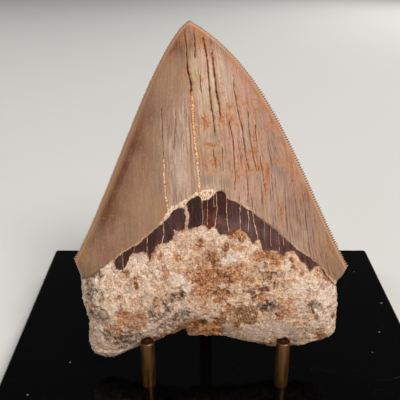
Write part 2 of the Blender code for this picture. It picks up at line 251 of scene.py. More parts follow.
GREY_STAINS = (
    (20.4, 58.6, 1.9, 2.8, 1.2), (23.3, 55.3, 2.3, 2.4, 0.8), (-8.6, 103.9, 1.4, 1.4, 1.1),
    (-10.7, 94.8, 1.7, 3.1, 0.8), (-0.5, 69.2, 2.4, 2.0, 0.8), (4.3, 63.7, 1.7, 1.7, 0.8),
    (-3.4, 54.2, 2.8, 2.1, 0.9), (4.2, 53.1, 2.4, 2.4, 0.6), (-13.9, 94.9, 2.1, 2.5, 0.6),
    (-19.3, 50.6, 3.5, 3.1, 0.5), (3.2, 91.3, 2.9, 2.5, 0.5), (19.4, 67.6, 2.3, 2.8, 0.5),
    (28.9, 45.2, 2.0, 2.8, 0.5), (3.5, 49.0, 2.1, 1.7, 0.7),
)
RUST_PATCHES = (
    (-16.6, -2.5, 2.9, 1.4, 1.2), (-20.2, -3.4, 2.4, 0.9, 1.1), (7.6, 36.7, 2.1, 1.0, 1.4),
    (18.5, 28.6, 2.2, 0.9, 1.0), (20.1, 26.3, 1.1, 1.5, 1.0), (17.7, 22.6, 1.0, 1.4, 0.8),
    (6.9, 36.0, 2.4, 1.7, 1.3), (8.9, 34.6, 2.2, 1.5, 1.1), (5.6, 34.6, 2.1, 1.1, 0.8),
    (-13.0, -0.3, 2.9, 0.9, 1.2), (-8.9, 1.3, 2.5, 0.9, 1.2), (-5.3, 32.9, 1.3, 1.2, 1.0),
    (-3.9, 20.3, 4.8, 6.0, 1.0), (4.6, 22.3, 4.8, 3.2, 1.0), (10.5, 20.6, 3.4, 3.5, 0.5),
    (13.9, 17.7, 3.1, 2.5, 0.5), (-1.2, 28.3, 2.7, 2.1, 0.9), (1.9, 16.0, 4.1, 2.5, 0.8),
    (-21.7, 29.3, 1.4, 1.8, 1.3), (-19.3, 27.9, 1.0, 1.3, 0.9), (-13.1, 28.0, 1.4, 1.0, 1.1),
    (-10.1, 23.2, 1.4, 1.4, 0.8), (-7.6, 31.1, 2.4, 1.3, 0.6), (-16.6, 22.8, 1.7, 2.1, 0.6),
    (-28.2, 20.8, 1.4, 1.1, 0.8), (-27.5, 18.7, 0.9, 1.4, 0.9), (-33.5, 13.5, 1.7, 2.6, 0.6),
    (-43.1, 10.6, 1.2, 1.3, 0.8), (2.9, 31.7, 1.0, 1.4, 1.3), (8.1, 31.3, 3.1, 1.0, 0.8),
    (16.0, 29.0, 2.5, 1.6, 0.9), (20.6, 27.8, 2.5, 1.2, 0.9), (19.0, 25.7, 0.9, 2.0, 0.9),
    (14.2, 27.5, 1.7, 1.7, 0.7), (26.2, 25.6, 1.1, 2.1, 0.8), (28.7, 21.8, 1.4, 1.7, 0.5),
    (35.1, 22.1, 1.6, 1.4, 0.9), (39.7, 20.2, 2.2, 1.5, 1.2), (15.7, 14.2, 2.1, 1.5, 1.2),
    (22.2, 7.5, 1.7, 2.1, 1.1), (37.8, -3.2, 2.1, 3.5, 1.2), (21.4, -2.1, 0.7, 1.1, 0.9),
    (18.6, -5.6, 2.5, 1.6, 0.8), (2.0, 6.9, 1.2, 2.3, 1.2), (-0.0, 4.1, 2.5, 1.3, 1.3),
    (-2.0, 0.3, 4.7, 2.5, 0.7), (-6.7, 3.7, 2.8, 2.3, 1.2), (-11.0, 1.5, 2.9, 2.5, 1.2),
    (-16.2, -2.6, 2.9, 1.9, 1.2), (-20.9, -3.9, 2.8, 1.4, 1.2), (-3.2, 9.8, 2.1, 1.6, 0.7),
    (4.0, 10.5, 1.7, 2.4, 0.8), (30.6, 4.1, 2.5, 2.4, 0.5), (-9.1, 14.4, 2.4, 2.2, 0.5),
    (-7.3, 26.6, 1.7, 1.4, 0.5),
)
OCHRE_PATCHES = (
    (-34.9, 2.0, 2.1, 2.6, 1.6), (-31.8, 5.5, 2.8, 1.7, 1.1), (-27.9, 7.2, 3.1, 1.6, 1.1),
    (-26.3, 4.6, 1.7, 1.7, 1.0), (-29.2, 3.3, 2.1, 1.8, 0.9), (-2.4, 1.5, 3.6, 1.6, 1.6),
    (-4.5, 0.3, 2.5, 1.1, 1.4), (-2.0, 0.3, 4.9, 2.5, 1.6), (-31.0, 7.6, 3.1, 2.5, 1.2),
    (-26.2, 7.6, 2.1, 2.5, 1.1), (-31.6, 4.2, 3.1, 2.2, 1.0), (-27.8, 2.8, 1.7, 2.4, 0.9),
    (-34.9, 2.5, 1.9, 2.7, 1.3), (-35.5, -0.7, 1.4, 1.9, 1.1), (-38.2, 1.7, 1.5, 2.2, 0.8),
    (-20.8, 11.9, 1.4, 1.9, 0.7), (23.0, 11.5, 2.4, 2.8, 0.8), (25.6, 9.1, 2.4, 2.5, 0.7),
    (6.7, 3.6, 1.2, 2.1, 1.0), (5.1, 8.1, 1.4, 2.6, 0.9), (0.2, 13.6, 2.1, 1.1, 0.9),
    (20.5, 26.3, 2.1, 1.6, 0.6), (-30.3, 22.8, 1.7, 1.3, 0.8), (-28.6, 15.9, 2.1, 1.4, 0.5),
    (8.1, 25.5, 2.4, 1.7, 0.6), (-33.1, 14.2, 2.1, 1.8, 0.7),
)
WHITE_PATCHES = (
    (-31.8, 2.0, 1.0, 1.0, 1.5), (-10.3, 17.8, 1.6, 2.0, 1.2), (-12.8, 20.4, 3.0, 1.9, 1.2),
    (-20.3, 23.2, 1.7, 1.4, 0.8), (4.0, 27.8, 3.1, 1.8, 1.0), (7.7, 29.0, 2.1, 1.3, 1.0),
    (-41.0, 11.9, 1.1, 1.0, 1.2), (-41.3, 19.2, 1.5, 0.7, 0.9), (-38.6, 22.4, 1.9, 1.4, 0.7),
    (-24.6, 11.5, 1.7, 1.5, 0.7), (-26.2, 26.1, 2.8, 1.8, 0.6), (-35.0, 10.8, 2.1, 1.2, 0.7),
    (24.9, 24.2, 2.1, 2.7, 0.8), (28.7, 18.3, 3.1, 3.9, 0.9), (32.9, 18.6, 1.8, 2.1, 0.7),
    (28.9, 11.5, 1.7, 3.2, 0.7), (16.7, 18.8, 1.2, 0.9, 1.1), (30.3, 7.1, 2.1, 2.1, 0.6),
    (-21.0, 0.3, 2.8, 2.3, 0.7), (-23.2, 4.1, 1.7, 1.4, 0.8), (-16.1, 7.4, 2.4, 1.4, 0.8),
    (-0.5, 30.4, 1.7, 1.0, 0.5),
)
DARK_PATCHES = (
    (-30.6, -0.5, 1.4, 2.0, 1.2), (-33.1, -4.3, 2.4, 1.5, 1.1), (-27.4, -0.7, 1.4, 1.5, 1.0),
    (-29.9, -4.2, 1.7, 1.6, 1.0), (-22.3, 8.0, 2.4, 1.2, 1.0), (-18.9, 7.5, 1.7, 1.3, 1.0),
    (-16.7, 9.9, 1.4, 1.2, 1.1), (-42.1, 5.7, 1.2, 1.9, 0.9), (-42.4, 9.1, 1.2, 1.3, 0.9),
    (-42.8, 17.6, 1.2, 1.2, 0.9), (-44.5, 14.0, 1.3, 1.1, 0.9), (-40.4, 21.3, 0.8, 0.8, 1.1),
    (-38.4, 3.9, 0.8, 0.9, 0.8), (-39.6, -0.3, 1.2, 0.9, 0.9), (-37.8, -1.7, 1.1, 1.3, 1.0),
    (-15.3, 13.3, 1.4, 1.1, 1.0), (-13.6, 14.4, 1.4, 1.1, 0.9), (-11.2, 9.8, 1.7, 1.2, 0.9),
    (-12.6, 7.7, 1.7, 1.3, 1.0), (-42.5, 14.0, 1.6, 7.0, 0.28), (-41.5, 6.0, 1.6, 6.0, 0.30),
    (-43.2, 16.6, 1.2, 2.2, 1.1), (-43.3, 12.9, 0.8, 2.0, 0.8), (-39.0, 14.4, 1.1, 1.8, 0.7),
    (-40.8, 6.5, 1.2, 1.8, 0.8), (-42.0, 21.1, 2.0, 0.5, 0.8), (-38.9, 9.8, 0.9, 1.3, 0.6),
    (-12.2, 14.4, 1.4, 1.8, 1.0), (-14.9, 14.8, 1.4, 1.4, 0.9), (-16.4, 10.3, 2.1, 1.2, 0.9),
    (-21.9, 10.3, 1.4, 1.0, 0.8), (-13.3, 7.2, 1.7, 1.7, 1.1), (-10.5, 8.5, 1.7, 1.4, 1.1),
    (-19.6, 7.5, 1.4, 1.3, 1.1), (-23.0, 8.4, 1.4, 1.2, 0.9), (-14.9, 2.7, 2.1, 1.2, 0.9),
    (-34.3, -2.7, 2.4, 2.0, 1.1), (-32.0, -0.9, 1.7, 1.8, 1.1), (-34.3, -6.2, 2.1, 1.5, 1.0),
    (-37.7, -0.9, 1.5, 2.2, 0.8), (-29.1, -3.3, 1.8, 1.6, 0.8), (17.8, 11.2, 2.8, 1.8, 1.7),
    (15.8, 9.6, 1.0, 1.0, 1.4), (16.7, 17.3, 1.4, 0.9, 1.1), (33.1, 11.0, 1.5, 1.6, 1.1),
    (35.4, 10.4, 1.0, 1.2, 1.0), (17.0, 25.1, 0.9, 1.4, 0.8), (-4.2, 4.0, 1.1, 2.0, 1.2),
    (-30.1, 1.5, 1.0, 1.5, 0.8), (-18.7, 2.7, 1.7, 1.6, 0.9), (-15.7, 5.5, 2.0, 1.0, 1.0),
    (-12.0, 4.8, 1.6, 1.2, 1.0), (-21.5, 5.6, 1.3, 1.0, 0.9), (-17.6, 12.4, 1.2, 0.9, 0.8),
    (-44.7, 22.3, 1.0, 0.5, 1.5), (-42.7, 20.4, 1.0, 0.5, 1.3), (-45.0, 17.7, 0.9, 0.9, 1.6),
    (-41.2, 16.6, 0.9, 0.6, 1.4), (-43.7, 13.1, 0.9, 0.9, 1.6), (-41.1, 11.1, 0.9, 0.7, 1.4),
    (-43.5, 7.4, 1.0, 1.1, 1.6), (-39.7, 5.9, 1.2, 0.7, 1.4), (-38.6, -2.7, 1.2, 0.7, 1.4),
    (-35.9, -4.5, 1.1, 0.8, 1.5), (-33.4, -0.8, 1.1, 0.8, 1.4), (-36.8, 1.0, 1.2, 0.7, 1.3),
)
DEEP_PATCHES = (
    (-45.3, 20.3, 0.9, 0.3, 1.0), (-40.0, 21.1, 0.6, 0.5, 1.0), (-22.8, 28.4, 0.5, 1.5, 1.0),
    (-18.5, -4.6, 2.9, 0.8, 1.1), (12.2, 15.3, 1.4, 0.5, 1.1), (-7.0, 20.0, 1.0, 0.5, 0.9),
    (-8.4, 19.3, 0.5, 1.1, 0.9), (16.2, 9.6, 1.0, 0.8, 1.0), (5.6, 37.0, 2.0, 0.8, 1.1),
    (-5.4, 33.0, 0.6, 0.9, 0.8), (2.3, 4.3, 1.4, 0.9, 1.1), (-4.6, 4.6, 2.4, 1.1, 1.1),
    (-0.8, 6.2, 2.1, 0.7, 0.9), (2.0, 6.6, 1.2, 0.8, 0.9), (-6.9, 2.4, 1.0, 1.5, 1.0),
    (17.6, 11.4, 1.4, 0.6, 0.8), (7.4, 35.6, 2.4, 1.3, 0.60), (-1.2, 26.2, 0.9, 1.7, 1.1),
    (0.5, 23.1, 0.9, 1.7, 1.0), (3.3, 21.7, 2.1, 0.9, 1.2), (5.0, 19.9, 1.0, 1.1, 0.9),
    (-2.5, 27.3, 1.7, 0.5, 0.9), (2.9, 31.7, 0.7, 1.0, 1.0), (-1.2, 16.1, 1.4, 1.4, 1.0),
    (11.5, 16.0, 2.1, 0.6, 1.3), (12.9, 14.2, 1.0, 0.5, 1.1), (16.3, 17.0, 1.4, 0.6, 1.2),
    (18.7, 21.2, 0.5, 1.8, 1.0), (19.8, 18.4, 0.5, 1.4, 0.8), (25.5, 26.2, 0.6, 0.9, 1.1),
    (26.4, 24.4, 0.5, 1.2, 1.0), (33.7, 8.6, 0.6, 1.6, 1.2), (34.7, 6.0, 0.8, 1.3, 1.1),
    (32.7, 11.4, 0.9, 1.0, 1.0), (41.8, 5.1, 1.1, 1.5, 1.1), (-41.7, 22.2, 1.6, 0.4, 1.1),
    (-39.9, 20.8, 0.5, 0.8, 0.9), (-21.1, 13.7, 1.0, 0.5, 0.9), (-19.1, 13.4, 0.7, 0.5, 0.9),
    (-14.6, 14.4, 0.6, 1.2, 0.8), (-11.8, 14.7, 0.6, 1.2, 0.8), (-21.9, 10.7, 1.0, 0.5, 0.9),
    (-4.6, 3.9, 0.9, 1.5, 1.2), (-7.0, 3.6, 2.5, 0.8, 1.0), (-20.2, -4.0, 2.8, 1.0, 1.0),
    (-32.0, 23.0, 1.1, 0.4, 1.0), (-28.2, 21.2, 1.0, 0.4, 0.9), (-27.5, 18.9, 0.4, 0.8, 0.8),
    (-34.6, -2.2, 2.1, 0.7, 0.9), (-32.8, -4.9, 1.4, 0.7, 0.9), (20.8, 8.0, 0.6, 1.2, 0.8),
    (8.2, 9.7, 1.4, 1.2, 1.0), (11.9, 4.2, 3.2, 0.9, 1.2), (-0.0, 4.6, 2.1, 0.8, 1.1),
    (37.8, 27.3, 0.8, 0.5, 0.8), (16.3, 25.4, 0.5, 1.0, 0.8), (1.9, 17.1, 2.7, 0.4, 0.8),
    (-3.9, 7.7, 1.0, 0.5, 0.8),
)
OLIVE_PATCHES = (
    (9.6, 9.0, 3.2, 2.8, 1.2), (7.0, 8.6, 1.8, 2.2, 1.1), (12.6, 7.6, 2.2, 2.4, 1.1),
    (9.0, 6.0, 3.0, 1.6, 0.9), (7.4, 4.1, 1.4, 2.0, 0.9), (-31.3, 8.8, 1.4, 0.8, 0.8),
)
GREY_PINK_PATCHES = (
    (4.4, 1.4, 2.1, 3.0, 1.2), (14.1, -0.3, 4.6, 3.4, 1.1), (20.8, 2.8, 4.2, 2.9, 1.1),
    (25.1, -0.1, 3.6, 3.2, 1.0), (28.2, -1.8, 2.2, 2.8, 0.9), (-2.9, 8.6, 2.1, 1.7, 0.8),
    (-4.3, 5.9, 2.1, 1.4, 0.8), (-12.6, 11.0, 2.8, 1.6, 0.5), (-7.4, 8.1, 2.1, 1.9, 0.7),
    (-40.3, -4.7, 3.7, 3.2, 0.55), (-41.6, -1.6, 2.8, 1.7, 0.5), (-22.8, 14.8, 2.1, 1.4, 0.4),
)

LINE_SETS = {"open_crack": OPEN_CRACKS, "filled_crack": FILLED_CRACKS, "vein": BAND_VEINS}
STAIN_SETS = {
    "orange": ORANGE_STAINS, "red": RED_STAINS, "mauve": MAUVE_STAINS, "grey": GREY_STAINS,
    "rust": RUST_PATCHES, "ochre": OCHRE_PATCHES, "white": WHITE_PATCHES, "dark": DARK_PATCHES,
    "deep": DEEP_PATCHES, "olive": OLIVE_PATCHES, "grey_pink": GREY_PINK_PATCHES,
}

# Pegs
PEG_RADIUS = 2.5
PEG_CHAMFER = 0.4
PEG_FOOT = 0.3
PEG_DENTS = 0.02
PEG_GAP = 0.12
PEG_TURNS = 128
PEG_RINGS = 60
# The end face and its lip: radius, and height from the top
PEG_END = (
    (0.0, -0.10), (0.22, -0.08), (0.34, 0.0), (0.8, -0.05), (1.5, -0.06), (1.95, -0.02),
    (PEG_RADIUS - PEG_CHAMFER - 0.05, 0.0), (PEG_RADIUS - PEG_CHAMFER * 0.5, -0.16),
    (PEG_RADIUS - 0.04, -PEG_CHAMFER * 0.85), (PEG_RADIUS, -PEG_CHAMFER - 0.1),
)
PEG_NODES = ("front_peg_left", "front_peg_right", "rear_peg")

# Camera, floor and lights: places and sizes in metres, lens and sensor in millimetres
CAMERA_PLACE = (-0.0055, -0.2194, 0.1704)
CAMERA_PITCH = math.radians(65)
CAMERA_LENS = 55.8
CAMERA_SENSOR = 36.0
CAMERA_NEAREST = 0.01
FLOOR_SIZE = 8.0
LIGHT_TARGET = (0.0, -0.01, 0.07)
WHITE = (1.0, 1.0, 1.0)
SKY_COLOUR = (0.95, 0.97, 1.0, 1.0)
SKY_STRENGTH = 0.08

# Lights: name, place, size, power, colour, shown in reflections
LIGHTS = (
    ("key", (0.50, -0.75, 1.00), 0.45, 15.0, (1.0, 0.97, 0.93), True),
    ("fill", (-0.8, -0.9, 0.45), 0.8, 2.6, (0.96, 0.98, 1.0), True),
    ("top", (0.1, 0.25, 1.3), 0.8, 5.0, WHITE, True),
    ("back", (-0.98, 0.62, 0.75), 0.6, 3.2, WHITE, False),
    ("rear", (0.55, 0.95, 0.50), 0.6, 4.5, WHITE, False),
)


# ------------------------------------------------------------------ helpers on whole arrays


def eased(low, high, value):
    """0 below low, 1 above high, with a smooth rise between."""
    share = np.clip((value - low) / (high - low), 0.0, 1.0)
    return share * share * (3 - 2 * share)


def together(*parts):
    """Arrays or single numbers side by side along a new last axis, such as three coordinates."""
    return np.stack(np.broadcast_arrays(*parts), axis=-1)


def read_off(pairs, wanted):
    """A line given as pairs of numbers, read off at wanted values of the first of them."""
    known = np.array(pairs)
    return np.interp(wanted, known[:, 0], known[:, 1])


def walked(curve, known, wanted):
    """Places on a curve of two coordinates, where known tells how far along each point is."""
    return together(*(np.interp(wanted, known, column) for column in curve.T))


def scrambled(cells, seed):
    """A repeatable number from 0 to 1 for each whole-number cell (..., 3), by an integer hash."""
    whole = cells.astype(np.int64)
    mixed = whole[..., 0] * 374761393 + whole[..., 1] * 668265263 + whole[..., 2] * 1442695041
    mixed = (mixed + seed * 1274126177) & 0xFFFFFFFF
    mixed = ((mixed ^ (mixed >> 13)) * 1274126177) & 0xFFFFFFFF
    mixed = ((mixed ^ (mixed >> 15)) * 2246822519) & 0xFFFFFFFF
    return ((mixed ^ (mixed >> 16)) & 0xFFFFFF) / float(0xFFFFFF)


def gradient_noise(points, seed=0):
    """Gradient noise: slopes drawn at the corners of each unit cell, eased across the cell."""
    base = np.floor(points)
    inside = points - base
    ease = inside**3 * (inside * (inside * 6 - 15) + 10)
    total = np.zeros(points.shape[:-1])
    for corner in np.ndindex(2, 2, 2):
        step = np.array(corner)
        weight = np.prod(np.where(step, ease, 1 - ease), axis=-1)
        away = inside - step
        for axis in range(3):
            slope = scrambled(base + step, seed * 3 + axis) * 2 - 1
            total += weight * slope * away[..., axis]
    return total * 1.6


def rough_noise(points, octaves=4, seed=0, gain=0.5):
    """A sum of gradient noises, each twice as fine and gain times as tall as the one before."""
    total = np.zeros(points.shape[:-1])
    height = 1.0
    for octave in range(octaves):
        total += height * gradient_noise(points * 2**octave, seed + octave)
        height *= gain
    return total


def cell_noise(points, seed=0):
    """Distance to the nearest of random points, one in each unit cell."""
    base = np.floor(points)
    nearest = np.full(points.shape[:-1], FAR)
    for corner in np.ndindex(3, 3, 3):
        cell = base + np.array(corner) - 1
        jitter = together(*(scrambled(cell, seed * 3 + axis) for axis in range(3)))
        nearest = np.minimum(nearest, np.linalg.norm(cell + jitter - points, axis=-1))
    return nearest


# ------------------------------------------------------------------ tooth outline


def bezier(start, handles, end, shares):
    """Cubic Bezier curve at each share."""
    share = shares[:, None]
    rest = 1 - share
    points = [np.array(point) for point in (start, *handles, end)]
    curve = rest**3 * points[0] + 3 * rest**2 * share * points[1]
    return curve + 3 * rest * share**2 * points[2] + share**3 * points[3]


def smooth_through(points, steps=12):
    """Catmull-Rom curve through the points, each stretch cut into steps."""
    known = np.array(points)
    padded = np.vstack([known[:1], known, known[-1:]])
    share = (np.arange(steps) / steps)[None, :, None]
    before, start = padded[:-3, None], padded[1:-2, None]
    end, after = padded[2:-1, None], padded[3:, None]
    curve = 2 * start + (end - before) * share
    curve = curve + (2 * before - 5 * start + 4 * end - after) * share**2
    curve = curve + (3 * start - before - 3 * end + after) * share**3
    return np.vstack([0.5 * curve.reshape(-1, 2), known[-1:]])


def evenly(curve, count):
    """The curve again, as count equal steps of its length."""
    lengths = np.concatenate([[0], np.cumsum(np.linalg.norm(np.diff(curve, axis=0), axis=1))])
    wanted = np.linspace(0, lengths[-1], count + 1)
    return walked(curve, lengths, wanted)


def crowded_ends(shares, pull, reach):
    """Shares that bunch up at both ends: each end is drawn in by pull, fading over reach."""
    left = pull * (1 - np.exp(-shares / reach))
    right = pull * (1 - np.exp(-(1 - shares) / reach))
    return (shares - left + right - pull) / (1 - 2 * pull)


def crowded_start(shares, pull, reach):
    """Shares that bunch up at the start only."""
    return (shares - pull * (1 - np.exp(-shares / reach))) / (1 - pull * (1 - np.exp(-1 / reach)))


FINE_EDGE = SERRATIONS * POINTS_PER_SERRATION
MANY = np.linspace(0, 1, 400)
LEFT_EDGE = evenly(bezier(LEFT_SHOULDER, LEFT_HANDLES[::-1], TIP, MANY), FINE_EDGE)
RIGHT_EDGE = evenly(bezier(RIGHT_SHOULDER, RIGHT_HANDLES[::-1], TIP, MANY), FINE_EDGE)
COLUMN_SHARES = crowded_ends(np.arange(COLUMNS + 1) / COLUMNS, 0.024, 0.03)
ROW_SHARES = crowded_start(np.arange(ROOT_ROWS + 1) / ROOT_ROWS, 0.05, 0.06)


def at_shares(curve, shares):
    """The curve at given shares of its length."""
    return walked(evenly(curve, 1000), np.linspace(0, 1, 1001), shares)


UNDERSIDE = at_shares(smooth_through(ROOT_UNDERSIDE), COLUMN_SHARES)
LEFT_SIDE = at_shares(smooth_through(LEFT_ROOT_SIDE), ROW_SHARES)
RIGHT_SIDE = at_shares(smooth_through(RIGHT_ROOT_SIDE), ROW_SHARES)
OUTLINE = np.vstack([
    UNDERSIDE[:-1:4], RIGHT_SIDE[:-1:4], RIGHT_EDGE[:-1:8], LEFT_EDGE[:0:-8], LEFT_SIDE[:0:-4],
])


def row_marks():
    """Which fine point of the cutting edge each crown row meets: two rows a serration low down."""
    low = np.arange(0, FINE_SERRATIONS * POINTS_PER_SERRATION, POINTS_PER_SERRATION // 2)
    high = np.arange(FINE_SERRATIONS * POINTS_PER_SERRATION, FINE_EDGE + 1, POINTS_PER_SERRATION)
    return np.concatenate([low, high])


CROWN_MARKS = row_marks()
CROWN_ROWS = len(CROWN_MARKS) - 1
ROWS = ROOT_ROWS + CROWN_ROWS


def tooth_plan():
    """Across and level of every grid point, (ROWS + 1, COLUMNS + 1, 2).

    The root is a Coons patch: the blend of its underside with the line between the shoulders, plus
    the blend of its two sides, less the blend of its four corners. Crown rows are straight lines
    from one cutting edge to the other.
    """
    s = COLUMN_SHARES[None, :, None]
    t = ROW_SHARES[:, None, None]
    top = LEFT_SIDE[-1] * (1 - s) + RIGHT_SIDE[-1] * s
    root = (1 - t) * UNDERSIDE[None] + t * top
    root = root + (1 - s) * LEFT_SIDE[:, None] + s * RIGHT_SIDE[:, None]
    corners = (1 - t) * ((1 - s) * UNDERSIDE[0] + s * UNDERSIDE[-1]) + t * top
    root = root - corners
    left = LEFT_EDGE[CROWN_MARKS][1:, None]
    right = RIGHT_EDGE[CROWN_MARKS][1:, None]
    crown = left * (1 - s) + right * s
    return np.concatenate([root, crown], axis=0)


# ------------------------------------------------------------------ tooth body


def crown_sides(level):
    """Middle and half width of the crown at each level."""
    right = read_off(RIGHT_EDGE[:, ::-1], level)
    left = read_off(LEFT_EDGE[:, ::-1], level)
    return (left + right) / 2, np.maximum((right - left) / 2, 0.01)


def edge_margin(across, level):
    """Distance to the nearest stretch of the outline."""
    nearest = np.full(across.shape, FAR)
    for start, end in zip(OUTLINE, np.roll(OUTLINE, -1, axis=0)):
        run = end - start
        aside, above = across - start[0], level - start[1]
        along = np.clip((aside * run[0] + above * run[1]) / (run @ run), 0, 1)
        nearest = np.minimum(nearest, np.hypot(aside - along * run[0], above - along * run[1]))
    return nearest


def body_depth(across, level, margin, side):
    """Depth of the smooth body: a lens in the crown, a pillow in the root, blended at the neck."""
    deep, tip_power, side_power = CROWN_FRONT if side > 0 else CROWN_BACK
    middle, half = crown_sides(level)
    off = np.clip(np.abs(across - middle) / half, 0, 1)
    rise = np.clip((level - CROWN_FOOT) / (TIP[1] - CROWN_FOOT), 0, 1)
    crown = deep * (1 - rise**tip_power) ** CROWN_TIP_POWER
    crown = crown * (1 - off**side_power) ** CROWN_EDGE_POWER
    thin, thick = ROOT_FRONT_DEPTH if side > 0 else ROOT_BACK_DEPTH
    inward = np.clip(margin / ROOT_EDGE_RADIUS, 0, 1)
    root = thin + (thick - thin) * eased(*ROOT_TAPER_LEVELS, level)
    root = root * np.sqrt(1 - (1 - inward) ** 2)
    reach = np.clip(np.abs(across - BODY_CENTRE[0]) / HALF_WIDTH, 0, 1)
    neck = NECK_AT_MIDDLE + (NECK_AT_SIDES - NECK_AT_MIDDLE) * reach
    share = 1 - eased(neck - NECK_BLEND / 2, neck + NECK_BLEND / 2, level)
    return share * root + (1 - share) * crown


def height_above(border, across, level, ragged, seed):
    """Signed distance above a border line, roughened by noise of the height ragged."""
    known = np.array(border)
    slope = together(known[:, 0], np.gradient(known[:, 1], known[:, 0]))
    steep = read_off(slope, across)
    wander = ragged * rough_noise(together(across * 0.5, level * 0.5, seed + 0.5), 4, seed, 0.75)
    return (level - read_off(border, across)) / np.sqrt(1 + np.minimum(steep**2, 4)) + wander


def line_offset(lines, across, level, wobble=0.16):
    """Signed sideways distance to the nearest line, counted in that line's half widths."""
    best = np.full(across.shape, FAR)
    for number, (half_width, route) in enumerate(lines):
        points = np.array(route)[::-1]
        place = together(level * 0.7, number * 7.3, 0.5)
        centre = read_off(points[:, ::-1], level) + wobble * rough_noise(place, 4, 5, 0.6)
        beyond = np.maximum(points[0, 1] - level, 0) + np.maximum(level - points[-1, 1], 0)
        swell = 1 + 0.7 * rough_noise(place * 1.6, 3, 11, 0.7)
        aside = across - centre
        far = np.hypot(aside, beyond * 0.4) / (half_width * np.maximum(swell, 0.35))
        offset = np.minimum(far, FAR) * np.where(aside < 0, -1, 1)
        best = np.where(np.abs(offset) < np.abs(best), offset, best)
    return best


def along_grain(across, level):
    """Sideways place in the enamel's grain: the distance from its leaning axis, less the spread."""
    aside = across - read_off(GRAIN_AXIS, level)
    below = np.clip(TIP[1] - level, 0, GRAIN_SPREAD_ENDS)
    return aside / (1 + np.where(aside < 0, GRAIN_SPREAD_LEFT, GRAIN_SPREAD_RIGHT) * below)


def stain_field(stains, across, level):
    """Soft ellipses, 1 times their strength in the middle, the strongest one winning."""
    field = np.zeros(across.shape)
    for x, z, wide, tall, strength in stains:
        far = ((across - x) / wide) ** 2 + ((level - z) / tall) ** 2
        field = np.maximum(field, strength * np.exp(-0.8 * far))
    return field


def tooth_fields(across, level, margin, side):
    """Everything the relief and the material need at each point, as a dictionary of arrays."""
    front = side > 0
    above_band = height_above(BAND_TOP if front else BACK_BORDER, across, level, 0.22, 3)
    above_root = height_above(BAND_FOOT, across, level, 0.34, 8) if front else above_band
    far = np.full(across.shape, FAR)
    middle, half = crown_sides(level)
    crust_place = together(across * 0.9, level * 0.9, 4.5)
    crust_width = read_off(CRUST, across) * (1 + 0.6 * rough_noise(crust_place, 3, 15, 0.7))
    crust_offset = (above_band - crust_width * 0.5) / np.maximum(crust_width, 0.05)
    crust_offset = crust_offset + 4 * eased(0.09, 0.03, crust_width)
    fields = {
        "across": across,
        "grain": along_grain(across, level),
        "level": level,
        "side": np.full(across.shape, side),
        "crust": crust_offset if front else far,
        "crust_width": crust_width,
        "flank": across - read_off(FLANK_LINE, level) if front else np.full(across.shape, 4),
        "above_band": above_band,
        "above_root": above_root,
        "margin": margin,
        "off": np.clip((across - middle) / half, -1, 1),
    }
    for name, lines in LINE_SETS.items():
        fields[name] = line_offset(lines, across, level) if front else far
        fields[name + "_near"] = np.abs(fields[name])
    turned = 1 if front else -1
    for name, places in STAIN_SETS.items():
        fields[name] = stain_field(places, across * turned, level) * (1.0 if front else 0.8)
    return fields


# Noises of the root's relief: height, how many to the millimetre, octaves, seed, gain
ROOT_NOISES = {
    "lumps": (0.75, 0.075, 2, 20, 0.5),
    "knobs": (0.46, 0.22, 3, 30, 0.6),
    "crumbs": (0.16, 1.5, 2, 45, 0.7),
    "hollows": (1.0, 0.36, 3, 50, 0.65),
    "crevices": (1.0, 0.13, 4, 55, 0.6),
    "creviced": (1.0, 0.09, 2, 57, 0.5),
    "pitted": (1.0, 0.11, 2, 59, 0.5),
    "folds": (1.0, 0.40, 3, 48, 0.5),
    "creased": (1.0, 0.10, 2, 49, 0.5),
    "crumbly": (1.0, 0.8, 2, 58, 0.5),
    "torn": (1.0, 0.9, 2, 47, 0.5),
}
DEEPEST = 1.2


def root_relief(points, fields):
    """The root's own relief, and its crumbs alone; it adds the fields raised and hollow.

    Pits, hollows, crevices and creases are noises cut off sharply, most of them only where a
    broader noise allows it. They are shallower in the calm grey patches.
    """
    noise = {}
    for name, (height, pitch, octaves, seed, gain) in ROOT_NOISES.items():
        noise[name] = height * rough_noise(points * pitch, octaves, seed, gain)
    grains = 0.18 * (0.5 - cell_noise(points * 1.2, 40))
    hollow = eased(0.30, 0.58, noise["hollows"])
    crevice = eased(0.10, 0.0, np.abs(noise["crevices"])) * eased(0.0, 0.4, noise["creviced"])
    pits = eased(0.44, 0.14, cell_noise(points * 0.52, 41)) * eased(-0.15, 0.20, noise["pitted"])
    folds = np.abs(noise["folds"])
    creases = eased(0.16, 0.02, folds) * eased(-0.05, 0.30, noise["creased"])
    calm = 1 - 0.7 * np.clip(fields["grey_pink"], 0, 1)
    busy = np.clip(0.35 + fields["rust"] + fields["dark"] + 0.4 * fields["ochre"], 0, 1)
    sunk = (0.50 * hollow + 0.50 * crevice + (0.50 * pits + 0.35 * creases) * busy) * calm
    sunk = sunk + 0.45 * fields["dark"] * eased(-0.1, 0.4, noise["crumbly"])
    sunk = sunk + 0.55 * fields["deep"] * eased(-0.5, 0.3, noise["torn"])
    step = 0.55 * eased(0.0, 0.5, -fields["above_root"]) + 0.1
    step = step * eased(0.0, 3.0, fields["margin"])
    raised = noise["knobs"] + grains + noise["crumbs"] + 0.5 * np.minimum(folds, 0.6) - 0.12
    fields["raised"] = raised
    fields["hollow"] = np.clip(sunk, 0, DEEPEST)
    relief = step + noise["lumps"] + raised * calm - np.minimum(sunk, DEEPEST)
    return relief, noise["crumbs"]


